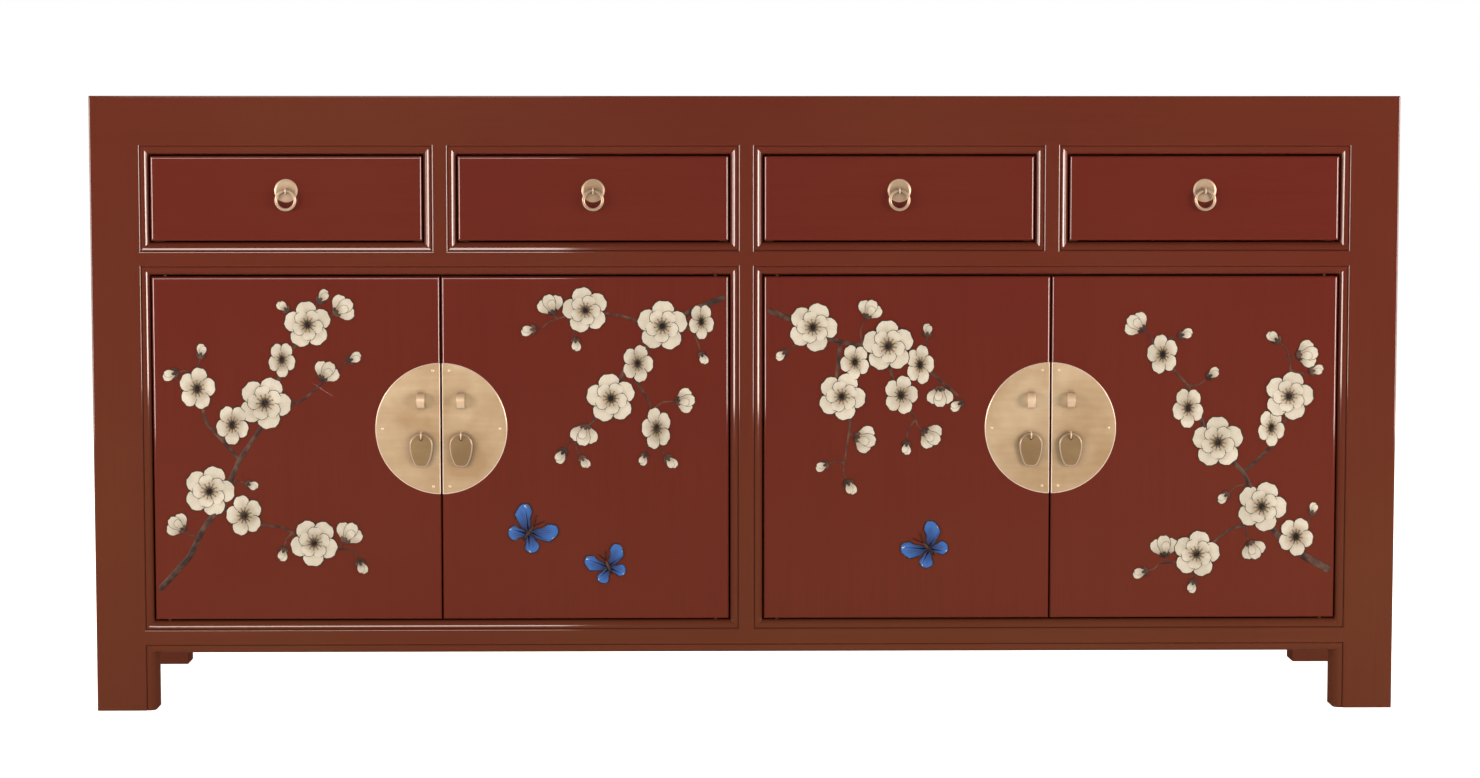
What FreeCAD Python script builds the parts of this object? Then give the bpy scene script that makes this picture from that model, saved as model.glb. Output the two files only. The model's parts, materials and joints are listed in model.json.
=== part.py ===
import FreeCAD, Part
import math
import os
import re

import Sketcher
from FreeCAD import Placement, Rotation, Vector

# A low red-lacquered sideboard: four drawers over two pairs of doors, in a mortised frame on four legs.
# X runs to the right, the front faces -Y and Z points up. The origin is on the floor, in the middle.

# Each row is a driving size in millimetres (or degrees), and what it measures.
DRIVING_SIZES = [
    # The whole cabinet
    ("width", 1800, "over both sides"),
    ("depth", 450, "frame face to back"),
    ("height", 850, "floor to top"),
    # The frame
    ("leg_width", 80, "front leg, seen from the front"),
    ("back_leg_width", 64, "back leg and top side rail"),
    ("frame_depth", 50, "legs and front rails, front to back"),
    ("top_rail_height", 80, "top frame"),
    ("middle_rail_height", 45, "rail between drawers and doors"),
    ("bottom_rail_height", 45, "rail under the doors"),
    ("stile_width", 45, "centre stile and drawer dividers"),
    ("drawer_opening_height", 120.5, "clear height of a drawer opening"),
    ("floor_gap", 80, "floor to the bottom rails"),
    ("side_rail_thickness", 36, "bottom side rail"),
    ("back_rail_thickness", 30, "bottom back rail"),
    ("corner_radius", 2, "upright outer corners"),
    ("top_edge_radius", 1.5, "edge round the top"),
    # The bead round every opening
    ("bead_width", 10.5, "from the opening's edge to the crown of the bead"),
    ("bead_radius", 10.9, "curve of the bead"),
    ("bead_drop", 1.5, "crown of the bead below the frame face"),
    ("quirk_width", 1, "narrow groove outside the bead"),
    ("frame_edge_radius", 2.6, "rounded edge of the frame face, which runs down into the groove"),
    # The joinery
    ("tenon_length", 25, "rail into leg"),
    ("tenon_thickness", 14, "all tenons"),
    ("tenon_shoulder", 8, "from a rail's edge to its tenon"),
    ("stub_length", 15, "stile and divider tenons"),
    ("post_tenon_height", 30, "leg into top frame"),
    ("post_tenon_width", 22, "leg into top frame, along the rail"),
    ("groove_depth", 8, "panels into the frame"),
    ("panel_thickness", 15, "side panels and bottom board"),
    ("panel_recess", 8, "side panel behind the leg's outer face"),
    ("back_thickness", 8, "back panel"),
    ("back_recess", 12, "back panel in from the back"),
    ("top_thickness", 18, "top panel"),
    ("tongue_thickness", 8, "top panel's tongue"),
    ("tongue_drop", 6, "top face to the tongue"),
    ("shrink_gap", 0.6, "room round the floating top panel"),
    ("top_batten_height", 30, "battens under the top panel"),
    ("partition_thickness", 18, "between the two cupboards"),
    ("shelf_thickness", 16, "cupboard shelves"),
    ("shelf_setback", 90, "shelf front behind the frame face"),
    ("housing_depth", 5, "shelves and drawer bottoms into the boards beside them"),
    ("runner_thickness", 20, "drawer runners"),
    ("runner_ledge", 14, "runner under a drawer side"),
    ("guide_height", 25, "rib between two drawers"),
    # Drawers and doors
    ("reveal_gap", 2, "gap round drawer fronts and doors"),
    ("face_recess", 4, "drawer and door faces behind the frame face"),
    ("leaf_thickness", 20, "doors and drawer fronts"),
    ("leaf_edge_radius", 3.5, "front edges of doors and drawer fronts"),
    ("drawer_side_thickness", 12, "drawer sides and back"),
    ("drawer_side_inset", 1.5, "drawer side in from the end of its front"),
    ("drawer_bottom_thickness", 6, "drawer bottom"),
    ("drawer_bottom_rise", 10, "drawer bottom above the side's lower edge"),
    ("drawer_headroom", 20, "drawer side below the top rail"),
    ("drawer_back_room", 10, "behind a shut drawer"),
    ("slide_clearance", 0.3, "drawer over its runner, door off its stop"),
    ("batten_width", 50, "door battens"),
    ("batten_thickness", 14, "door battens"),
    ("batten_inset", 60, "door battens in from the door's ends"),
    ("stop_length", 90, "door stops"),
    ("stop_height", 15, "door stops"),
    ("pivot_radius", 2, "door pivot pins"),
    ("pivot_clearance", 0.08, "pin in the door, on the radius"),
    ("pivot_grip", 12, "pin into the rail and into the door"),
    ("pivot_inset", 18, "pin in from the door's hinge edge"),
    ("pivot_setback", 8, "pin behind the door's face"),
    # Brass on the doors
    ("plate_radius", 91, "round door plate, split at the seam"),
    ("plate_thickness", 1.6, "door plate"),
    ("plate_bevel", 1.2, "door plate's bevelled front edge"),
    ("plate_seam_inset", 0.4, "plate in from the door's edge"),
    ("plate_rise", 27.5, "plate centre above the middle of the doors"),
    ("fitting_spread", 27.5, "loop and drop away from the seam"),
    ("loop_rise", 39, "lock loop above the plate centre"),
    ("loop_radius", 10.4, "outside bend of the lock loop"),
    ("loop_thickness", 2, "lock loop's strap"),
    ("loop_width", 10.6, "lock loop's strap"),
    ("loop_reach", 15, "lock loop out from the plate"),
    ("loop_edge_radius", 0.5, "lock loop's edges"),
    ("eye_radius", 5, "middle of the drop's wire eye"),
    ("eye_wire_radius", 1, "drop's wire eye"),
    ("eye_standoff", 7, "middle of the eye out from the plate"),
    ("eye_fall", 9, "middle of the eye below the plate centre"),
    ("drop_width", 32, "drop handle"),
    ("drop_foot", 15, "drop handle's flat foot"),
    ("drop_length", 46, "drop handle"),
    ("drop_corner_radius", 8, "rounded corners of the foot"),
    ("drop_thickness", 2.2, "drop handle"),
    ("drop_bevel", 1.8, "drop handle's rim"),
    ("drop_hole_radius", 2.2, "hole for the wire eye"),
    ("drop_top_rise", 2.5, "top of the drop above the middle of the eye"),
    ("nail_circle_radius", 81, "brass nails from the plate centre"),
    ("nail_angle", 82, "upper and lower nails above and below level"),
    ("nail_dome_radius", 2.4, "sphere of the nail's head"),
    ("nail_dome_angle", 42, "where the sphere meets the plate"),
    ("nail_shank_radius", 0.8, "nail"),
    ("nail_length", 8, "nail into the door"),
    # Brass on the drawers
    ("pull_rise", 10.5, "pull above the middle of the drawer front"),
    ("rosette_radius", 16, "round plate of the pull"),
    ("rosette_thickness", 1.8, "round plate of the pull"),
    ("rosette_bevel", 2.6, "bevelled edge of the round plate"),
    ("rosette_rim", 0.8, "upright edge of the round plate"),
    ("ring_radius", 13, "middle of the ring's wire"),
    ("ring_wire_radius", 2, "ring"),
    ("ring_eye_radius", 3.7, "middle of the ring's wire eye"),
    ("ring_eye_wire_radius", 1.2, "ring's wire eye"),
    ("ring_eye_room", 0.4, "eye off the round plate"),
    ("eye_leg_radius", 1.1, "wire eye's leg through the wood"),
    ("eye_leg_end", 4, "wire eye's leg out of the back"),
]

# Four drawers in the upper row, and four doors in two pairs below
DRAWER_COUNT = 4
DOOR_COUNT = 4

# Two places nearer than this, in millimetres, count as the same
TOUCH = 1e-6

# Rotations that lay an upright cylinder along X or along Y
ALONG = {
    "x": Rotation(Vector(0, 1, 0), 90),
    "y": Rotation(Vector(1, 0, 0), -90),
    "z": Rotation(),
}

doc = FreeCAD.newDocument("Sideboard")
sizes = doc.addObject("Spreadsheet::Sheet", "Sizes")
for row, (alias, number, meaning) in enumerate(DRIVING_SIZES, start=1):
    sizes.set(f"A{row}", alias)
    sizes.set(f"B{row}", str(number))
    sizes.setAlias(f"B{row}", alias)
    sizes.set(f"C{row}", meaning)
doc.recompute()

ALIASES = {alias for alias, number, meaning in DRIVING_SIZES}
nodes = []


# Places worked out from the driving sizes, as expressions
LEG_IN = "(width / 2 - leg_width)"
BACK_LEG_IN = "(width / 2 - back_leg_width)"
BACK_LEG_FACE = "(depth - frame_depth)"
BOTTOM_RAIL_TOP = "(floor_gap + bottom_rail_height)"
TOP_RAIL_LOW = "(height - top_rail_height)"
DRAWER_LOW = f"({TOP_RAIL_LOW} - drawer_opening_height)"
MIDDLE_RAIL_LOW = f"({DRAWER_LOW} - middle_rail_height)"
DRAWER_OPENING = f"((2 * {LEG_IN} - {DRAWER_COUNT - 1} * stile_width) / {DRAWER_COUNT})"
SEAM = f"(({LEG_IN} + stile_width / 2) / 2)"
LEAF_WIDTH = f"(({LEG_IN} - stile_width / 2 - 3 * reveal_gap) / 2)"
LEAF_LOW = f"({BOTTOM_RAIL_TOP} + reveal_gap)"
LEAF_HIGH = f"({MIDDLE_RAIL_LOW} - reveal_gap)"
LEAF_BACK = "(face_recess + leaf_thickness)"
PLATE_FACE = "(face_recess - plate_thickness)"
PLATE_MIDDLE = f"(({BOTTOM_RAIL_TOP} + {MIDDLE_RAIL_LOW}) / 2 + plate_rise)"
PANEL_OUT = "(width / 2 - panel_recess)"
PANEL_IN = "(width / 2 - panel_recess - panel_thickness)"
BACK_PANEL_FACE = "(depth - back_recess - back_thickness)"
RUNNER_LOW = f"({DRAWER_LOW} - runner_thickness)"
BEAD_AXIS_DEPTH = "(bead_drop + bead_radius)"
EDGE_REACH = "(bead_width + quirk_width + frame_edge_radius)"
# The brass reaches furthest forward at the lock loops, and the origin lies midway between them and the back
FRONT = "(-(depth - (plate_thickness + loop_reach - face_recess)) / 2)"


def expand(text):
    """Put the sheet's name before each size in an expression."""
    return re.sub(r"[a-z_]+", lambda word: f"Sizes.{word[0]}" if word[0] in ALIASES else word[0], text)


def bind(item, setting, text):
    item.setExpression(setting, expand(text))


def size(alias):
    return float(sizes.get(alias))


def place(item, x, behind, z):
    """Move an item to X, to a depth behind the frame face, and to a height."""
    bind(item, "Placement.Base.x", x)
    bind(item, "Placement.Base.y", f"{FRONT} + ({behind})")
    bind(item, "Placement.Base.z", z)


def block(name, x, behind, z):
    """A square-edged board between two places on each axis."""
    board = doc.addObject("Part::Box", name)
    bind(board, "Length", f"({x[1]}) - ({x[0]})")
    bind(board, "Width", f"({behind[1]}) - ({behind[0]})")
    bind(board, "Height", f"({z[1]}) - ({z[0]})")
    place(board, x[0], behind[0], z[0])
    return board


def rod(name, along, x, behind, z, radius, length):
    """A round bar that starts at a point and runs along an axis."""
    bar = doc.addObject("Part::Cylinder", name)
    bar.Placement = Placement(Vector(), ALONG[along])
    bind(bar, "Radius", radius)
    bind(bar, "Height", length)
    place(bar, x, behind, z)
    return bar


def wire_ring(name, along, x, behind, z, radius, wire_radius):
    """A closed ring of round wire about an axis."""
    ring = doc.addObject("Part::Torus", name)
    ring.Placement = Placement(Vector(), ALONG[along])
    bind(ring, "Radius1", radius)
    bind(ring, "Radius2", wire_radius)
    place(ring, x, behind, z)
    return ring


def joined(name, pieces):
    whole = doc.addObject("Part::MultiFuse", name)
    whole.Shapes = pieces
    whole.Refine = True
    return whole


def less(name, piece, cutters):
    """A piece with its mortises, grooves or holes cut out."""
    rest = doc.addObject("Part::Cut", name)
    rest.Base = piece
    rest.Tool = cutters[0] if len(cutters) == 1 else joined(name + "_cutters", cutters)
    rest.Refine = True
    return rest


def within(name, piece, outline):
    shared = doc.addObject("Part::Common", name)
    shared.Base = piece
    shared.Tool = outline
    shared.Refine = True
    return shared


def group(name, pieces):
    """Separate solids that share one node."""
    together = doc.addObject("Part::Compound", name)
    together.Links = pieces
    return together


def mirrored(name, piece):
    """The right-hand twin of a left-hand piece."""
    twin = doc.addObject("Part::Mirroring", name)
    twin.Source = piece
    twin.Normal = Vector(1, 0, 0)
    return twin


def node(name, piece):
    """Name a finished piece, which also names its file."""
    piece.Label = name
    nodes.append(piece)
    return piece


def new_sketch(body, name, role):
    sketch = body.newObject("Sketcher::SketchObject", name)
    plane = next(feature for feature in body.Origin.OriginFeatures if feature.Role == role)
    sketch.AttachmentSupport = [(plane, "")]
    sketch.MapMode = "FlatFace"
    return sketch


def constrain(sketch, name, text, kind, *where):
    """Add a named dimension to a sketch and bind it to the sheet."""
    number = sketch.addConstraint(Sketcher.Constraint(kind, *where))
    sketch.renameConstraint(number, name)
    bind(sketch, f"Constraints.{name}", text)


def chain(sketch, links):
    """Join line and arc ends, each link given as two ends of two lines or arcs."""
    for first, first_end, second, second_end in links:
        sketch.addConstraint(Sketcher.Constraint("Coincident", first, first_end, second, second_end))


def polygon(sketch, corners):
    """Straight sides through the corners, all still free to be constrained."""
    for here, there in zip(corners, corners[1:] + corners[:1]):
        sketch.addGeometry(Part.LineSegment(Vector(*here, 0), Vector(*there, 0)))
    count = len(corners)
    chain(sketch, [(side, 2, (side + 1) % count, 1) for side in range(count)])


def pad(body, sketch, name, length, backward=False):
    feature = body.newObject("PartDesign::Pad", name)
    feature.Profile = sketch
    feature.Reversed = backward
    bind(feature, "Length", length)
    doc.recompute()
    return feature


def edges_where(feature, test):
    """Names of a feature's edges that pass a test."""
    return [f"Edge{count}" for count, edge in enumerate(feature.Shape.Edges, start=1) if test(edge)]


def soften(body, feature, kind, name, setting, text, test):
    """Fillet or chamfer the edges that pass a test."""
    finish = body.newObject(f"PartDesign::{kind}", name)
    finish.Base = (feature, edges_where(feature, test))
    bind(finish, setting, text)
    doc.recompute()
    return finish


def upright(edge):
    return edge.BoundBox.ZLength > max(edge.BoundBox.XLength, edge.BoundBox.YLength)


def at_front_of(shape):
    """A test for the edges of a shape's front face."""
    face = shape.BoundBox.YMin
    return lambda edge: edge.BoundBox.YMax < face + TOUCH


def at_top_of(shape):
    """A test for the edges of a shape's top face."""
    top = shape.BoundBox.ZMax
    return lambda edge: edge.BoundBox.ZMin > top - TOUCH


def at_foot_of(shape):
    """A test for the short edges through the thickness at a shape's foot."""
    foot = shape.BoundBox.ZMin
    return lambda edge: edge.BoundBox.ZMax < foot + TOUCH and edge.BoundBox.XLength < TOUCH


def rectangle(sketch, width, length):
    """A rectangle from the sketch's origin."""
    guess = 100
    polygon(sketch, [(0, 0), (guess, 0), (guess, guess), (0, guess)])
    for side, kind in enumerate(["Horizontal", "Vertical", "Horizontal", "Vertical"]):
        sketch.addConstraint(Sketcher.Constraint(kind, side))
    chain(sketch, [(0, 1, -1, 1)])
    constrain(sketch, "across", width, "DistanceX", 0, 1, 0, 2, guess)
    constrain(sketch, "up", length, "DistanceY", 1, 1, 1, 2, guess)


def outline_block():
    """The cabinet's outer form with its rounded corners, which the outer frame pieces are cut to."""
    body = doc.addObject("PartDesign::Body", "outline")
    sketch = new_sketch(body, "outline_plan", "XY_Plane")
    rectangle(sketch, "width", "depth")
    block_pad = pad(body, sketch, "outline_pad", "height")
    corners = soften(body, block_pad, "Fillet", "outline_corners", "Radius", "corner_radius", upright)
    top_edges = at_top_of(corners.Shape)
    soften(body, corners, "Fillet", "outline_top_edge", "Radius", "top_edge_radius", top_edges)
    place(body, "-width / 2", "0", "0")
    return body


def round_opening(name, x, z, reach, behind):
    """A block that reaches beyond an opening on all sides."""
    low_x, high_x = x
    low_z, high_z = z
    return block(
        name, (f"{low_x} - {reach}", f"{high_x} + {reach}"), behind, (f"{low_z} - {reach}", f"{high_z} + {reach}")
    )


def rounded_recess(name, x, z, reach, depth, radius):
    """A shallow recess round an opening, with a round bar left standing along each side, mitred at the corners.

    The bars' middle lines lie where the recess ends, both outwards and in depth.
    """
    low_x, high_x = x
    low_z, high_z = z
    band = round_opening(name + "_band", x, z, reach, ("-frame_edge_radius", depth))
    level_start = f"{low_x} - 2 * {reach}"
    level_length = f"{high_x} - {low_x} + 4 * {reach}"
    level = [
        rod(f"{name}_{side}", "x", level_start, depth, height, radius, level_length)
        for side, height in [("lower", f"{low_z} - {reach}"), ("upper", f"{high_z} + {reach}")]
    ]
    upright_start = f"{low_z} - 2 * {reach}"
    upright_length = f"{high_z} - {low_z} + 4 * {reach}"
    uprights = [
        rod(f"{name}_{side}", "z", across, depth, upright_start, radius, upright_length)
        for side, across in [("left", f"{low_x} - {reach}"), ("right", f"{high_x} + {reach}")]
    ]
    return less(name, less(name + "_level", band, level), uprights)


def bead_recess(name, x, z):
    """What is cut away round an opening: over the bead, and over the groove and the rounded edge outside it."""
    bead = rounded_recess(name + "_curve", x, z, "bead_width", BEAD_AXIS_DEPTH, "bead_radius")
    edge = rounded_recess(name + "_edge", x, z, EDGE_REACH, "frame_edge_radius", "frame_edge_radius")
    kept = round_opening(name + "_kept", x, z, "bead_width", ("-2 * frame_edge_radius", "2 * frame_edge_radius"))
    return joined(name, [bead, less(name + "_groove", edge, [kept])])


def drawer_span(number):
    """Left and right edges of a drawer opening, counted from 0 at the left."""
    left = f"(-{LEG_IN} + {number} * ({DRAWER_OPENING} + stile_width))"
    return left, f"({left} + {DRAWER_OPENING})"


def rail_tenon(name, x, behind, z):
    return block(name, x, behind, (f"{z[0]} + tenon_shoulder", f"{z[1]} - tenon_shoulder"))


# Heights of the rails and spans of the openings
TOP_RAIL = (TOP_RAIL_LOW, "height")
MIDDLE_RAIL = (MIDDLE_RAIL_LOW, DRAWER_LOW)
BOTTOM_RAIL = ("floor_gap", BOTTOM_RAIL_TOP)
DRAWER_ROW = (DRAWER_LOW, TOP_RAIL_LOW)
DOOR_ROW = (BOTTOM_RAIL_TOP, MIDDLE_RAIL_LOW)
DRAWER_SPANS = [drawer_span(number) for number in range(DRAWER_COUNT)]
DOOR_SPANS = [(f"(-{LEG_IN})", "(-stile_width / 2)"), ("(stile_width / 2)", LEG_IN)]
SEAMS = [f"(-{SEAM})", SEAM]
DIVIDER_MIDDLES = [SEAMS[0], "0", SEAMS[1]]
FRAME = ("0", "frame_depth")
BACK_FRAME = (BACK_LEG_FACE, "depth")
TENON = ("(frame_depth - tenon_thickness) / 2", "(frame_depth + tenon_thickness) / 2")

outline = outline_block()

# The beads, and the space under the cabinet, whose bead runs down the legs
drawer_beads = [bead_recess(f"drawer_bead_{n}", span, DRAWER_ROW) for n, span in enumerate(DRAWER_SPANS)]
door_beads = [bead_recess(f"door_bead_{n}", span, DOOR_ROW) for n, span in enumerate(DOOR_SPANS)]
foot_bead = bead_recess("foot_bead", (f"(-{LEG_IN})", LEG_IN), ("(-height)", "floor_gap"))

# Tenons and tongues, which are joined to one piece and cut from its neighbour
middle_tenons = [
    rail_tenon("middle_tenon_left", (f"-{LEG_IN} - tenon_length", f"-{LEG_IN}"), TENON, MIDDLE_RAIL),
    rail_tenon("middle_tenon_right", (LEG_IN, f"{LEG_IN} + tenon_length"), TENON, MIDDLE_RAIL),
]
bottom_tenons = [
    rail_tenon("bottom_tenon_left", (f"-{LEG_IN} - tenon_length", f"-{LEG_IN}"), TENON, BOTTOM_RAIL),
    rail_tenon("bottom_tenon_right", (LEG_IN, f"{LEG_IN} + tenon_length"), TENON, BOTTOM_RAIL),
]
SIDE_RAIL_X = ("-width / 2", "-width / 2 + side_rail_thickness")
SIDE_TENON_X = (
    "-width / 2 + (side_rail_thickness - tenon_thickness) / 2",
    "-width / 2 + (side_rail_thickness + tenon_thickness) / 2",
)
SIDE_TENON_ENDS = [
    ("front", ("frame_depth - tenon_length", "frame_depth")),
    ("back", (BACK_LEG_FACE, f"{BACK_LEG_FACE} + tenon_length")),
]
side_tenons = [
    rail_tenon(f"side_tenon_{end}", SIDE_TENON_X, behind, BOTTOM_RAIL) for end, behind in SIDE_TENON_ENDS
]
BACK_RAIL_LOW = f"({BACK_PANEL_FACE} - (back_rail_thickness - back_thickness) / 2)"
BACK_RAIL = (BACK_RAIL_LOW, f"{BACK_RAIL_LOW} + back_rail_thickness")
BACK_RAIL_TENON = (
    f"{BACK_RAIL_LOW} + (back_rail_thickness - tenon_thickness) / 2",
    f"{BACK_RAIL_LOW} + (back_rail_thickness + tenon_thickness) / 2",
)
# The rail that carries the runners fills the room between the back legs' inner faces and the back panel
INNER_RAIL = (BACK_LEG_FACE, BACK_PANEL_FACE)
INNER_RAIL_TENON = (
    f"({BACK_LEG_FACE} + {BACK_PANEL_FACE} - tenon_thickness) / 2",
    f"({BACK_LEG_FACE} + {BACK_PANEL_FACE} + tenon_thickness) / 2",
)
BACK_TENON_ENDS = [
    ("left", (f"-{BACK_LEG_IN} - tenon_length", f"-{BACK_LEG_IN}")),
    ("right", (BACK_LEG_IN, f"{BACK_LEG_IN} + tenon_length")),
]
back_tenons = [
    rail_tenon(f"back_tenon_{end}", x, BACK_RAIL_TENON, BOTTOM_RAIL) for end, x in BACK_TENON_ENDS
]
inner_tenons = [
    rail_tenon(f"inner_tenon_{end}", x, INNER_RAIL_TENON, MIDDLE_RAIL) for end, x in BACK_TENON_ENDS
]
POST_TENON_Z = (TOP_RAIL_LOW, f"{TOP_RAIL_LOW} + post_tenon_height")
front_post_tenon = block(
    "front_post_tenon",
    (f"-{LEG_IN} - tenon_shoulder - post_tenon_width", f"-{LEG_IN} - tenon_shoulder"),
    TENON,
    POST_TENON_Z,
)
back_post_tenon = block(
    "back_post_tenon",
    (f"-{BACK_LEG_IN} - tenon_shoulder - tenon_thickness", f"-{BACK_LEG_IN} - tenon_shoulder"),
    ("depth - tenon_shoulder - tenon_thickness", "depth - tenon_shoulder"),
    POST_TENON_Z,
)
post_mortises = [front_post_tenon, mirrored("front_post_mortise", front_post_tenon)]
back_mortises = [back_post_tenon, mirrored("back_post_mortise", back_post_tenon)]


def stub_tenons(name, middle, z):
    """The two stub tenons of an upright between two rails."""
    x = (f"{middle} - tenon_thickness / 2", f"{middle} + tenon_thickness / 2")
    upper = block(name + "_stub_upper", x, TENON, (z[1], f"{z[1]} + stub_length"))
    lower = block(name + "_stub_lower", x, TENON, (f"{z[0]} - stub_length", z[0]))
    return upper, lower


stile_stubs = stub_tenons("stile", "0", DOOR_ROW)
divider_stubs = [stub_tenons(f"divider_{n}", middle, DRAWER_ROW) for n, middle in enumerate(DIVIDER_MIDDLES)]
upper_stubs = [upper for upper, lower in divider_stubs]
lower_stubs = [lower for upper, lower in divider_stubs]

# The panels that float in grooves
side_panel_board = block(
    "side_panel_board",
    (f"-{PANEL_OUT}", f"-{PANEL_IN}"),
    ("frame_depth - groove_depth", f"{BACK_LEG_FACE} + groove_depth"),
    (f"{BOTTOM_RAIL_TOP} - groove_depth", f"{TOP_RAIL_LOW} + groove_depth"),
)
back_panel = block(
    "back_panel_board",
    (f"-{BACK_LEG_IN} - groove_depth", f"{BACK_LEG_IN} + groove_depth"),
    (BACK_PANEL_FACE, f"{BACK_PANEL_FACE} + back_thickness"),
    (f"{BOTTOM_RAIL_TOP} - groove_depth", f"{TOP_RAIL_LOW} + groove_depth"),
)
TONGUE_Z = ("height - tongue_drop - tongue_thickness", "height - tongue_drop")
top_groove = block(
    "top_groove",
    (f"-{BACK_LEG_IN} - groove_depth", f"{BACK_LEG_IN} + groove_depth"),
    ("frame_depth - groove_depth", f"{BACK_LEG_FACE} + groove_depth"),
    TONGUE_Z,
)
top_tongue = block(
    "top_tongue",
    (f"-{BACK_LEG_IN} - groove_depth + shrink_gap", f"{BACK_LEG_IN} + groove_depth - shrink_gap"),
    ("frame_depth - groove_depth + shrink_gap", f"{BACK_LEG_FACE} + groove_depth - shrink_gap"),
    TONGUE_Z,
)
top_field = block(
    "top_field",
    (f"-{BACK_LEG_IN} + shrink_gap", f"{BACK_LEG_IN} - shrink_gap"),
    ("frame_depth + shrink_gap", f"{BACK_LEG_FACE} - shrink_gap"),
    ("height - top_thickness", "height"),
)

# Legs
front_leg_post = block("front_leg_post", ("-width / 2", f"-{LEG_IN}"), FRAME, ("0", TOP_RAIL_LOW))
front_leg = less(
    "front_leg",
    joined("front_leg_blank", [within("front_leg_rounded", front_leg_post, outline), front_post_tenon]),
    [
        drawer_beads[0],
        door_beads[0],
        foot_bead,
        middle_tenons[0],
        bottom_tenons[0],
        side_tenons[0],
        side_panel_board,
    ],
)
node("front_leg_left", front_leg)
node("front_leg_right", mirrored("front_leg_twin", front_leg))
back_leg_post = block("back_leg_post", ("-width / 2", f"-{BACK_LEG_IN}"), BACK_FRAME, ("0", TOP_RAIL_LOW))
back_leg = less(
    "back_leg",
    joined("back_leg_blank", [within("back_leg_rounded", back_leg_post, outline), back_post_tenon]),
    [side_tenons[1], side_panel_board, back_tenons[0], inner_tenons[0], back_panel],
)
node("back_leg_left", back_leg)
node("back_leg_right", mirrored("back_leg_twin", back_leg))


def mitred_rail(name, outer, inner, z):
    """A rail whose ends are cut on the slant, from its outer length to its inner length."""
    rail = doc.addObject("Part::Wedge", name)
    for setting, text in zip(["Xmin", "Xmax", "Ymin", "X2min", "X2max", "Ymax"], outer + inner):
        bind(rail, setting, text)
    for setting, text in zip(["Zmin", "Z2min", "Zmax", "Z2max"], [z[0], z[0], z[1], z[1]]):
        bind(rail, setting, text)
    return rail


# Top frame, mitred at the corners
OUTER_X = ["-width / 2", "width / 2"]
INNER_X = [f"-{BACK_LEG_IN}", BACK_LEG_IN]
top_front_blank = mitred_rail(
    "top_front_blank", OUTER_X + [FRONT], INNER_X + [f"{FRONT} + frame_depth"], TOP_RAIL
)
top_back_blank = mitred_rail(
    "top_back_blank", INNER_X + [f"{FRONT} + {BACK_LEG_FACE}"], OUTER_X + [f"{FRONT} + depth"], TOP_RAIL
)
OUTER_Y = [f"-({FRONT} + depth)", f"-{FRONT}"]
INNER_Y = [f"-({FRONT} + {BACK_LEG_FACE})", f"-({FRONT} + frame_depth)"]
top_side_blank = mitred_rail(
    "top_side_blank", OUTER_Y + ["-width / 2"], INNER_Y + [f"-{BACK_LEG_IN}"], TOP_RAIL
)
top_side_blank.Placement = Placement(Vector(), Rotation(Vector(0, 0, 1), -90))
top_front_rail = less(
    "top_front",
    within("top_front_rounded", top_front_blank, outline),
    drawer_beads + upper_stubs + post_mortises + [top_groove],
)
top_back_rail = less(
    "top_back",
    within("top_back_rounded", top_back_blank, outline),
    back_mortises + [top_groove, back_panel],
)
top_side_rail = less(
    "top_side",
    within("top_side_rounded", top_side_blank, outline),
    [top_groove, side_panel_board, front_post_tenon, back_post_tenon],
)
node("top_front_rail", top_front_rail)
node("top_back_rail", top_back_rail)
node("top_left_rail", top_side_rail)
node("top_right_rail", mirrored("top_side_twin", top_side_rail))
node("top_panel", joined("top_panel_board", [top_field, top_tongue]))
top_battens = [
    block(
        f"top_batten_{n}",
        (f"{middle} - stile_width / 2", f"{middle} + stile_width / 2"),
        ("frame_depth", BACK_LEG_FACE),
        ("height - top_thickness - top_batten_height", "height - top_thickness"),
    )
    for n, middle in enumerate(DIVIDER_MIDDLES)
]
node("top_battens", group("top_batten_set", top_battens))


# Doors turn on pins between the middle and bottom rails
def door_places(number):
    """Where a door's parts lie, counted from 0 at the left: even doors hang on their left edge."""
    low_x, high_x = DOOR_SPANS[number // 2]
    seam = SEAMS[number // 2]
    if number % 2 == 0:
        hinge = f"({low_x} + reveal_gap)"
        return {"inward": "1", "hinge": hinge, "left": hinge, "seam": seam}
    hinge = f"({high_x} - reveal_gap)"
    return {"inward": "-1", "hinge": hinge, "left": f"({hinge} - {LEAF_WIDTH})", "seam": seam}


doors = [door_places(number) for number in range(DOOR_COUNT)]
PIVOT_DEPTH = "face_recess + pivot_setback"
PIN_LENGTH = "2 * pivot_grip + reveal_gap"
upper_pins = []
lower_pins = []
for number, door in enumerate(doors):
    door["pivot"] = f"({door['hinge']} + {door['inward']} * pivot_inset)"
    upper_start = f"{LEAF_HIGH} - pivot_grip"
    lower_start = f"{BOTTOM_RAIL_TOP} - pivot_grip"
    for pins, start, end in [(upper_pins, upper_start, "upper"), (lower_pins, lower_start, "lower")]:
        pin_name = f"pin_{end}_{number}"
        pins.append(rod(pin_name, "z", door["pivot"], PIVOT_DEPTH, start, "pivot_radius", PIN_LENGTH))
node("door_pivot_pins", group("pin_set", upper_pins + lower_pins))

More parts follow.
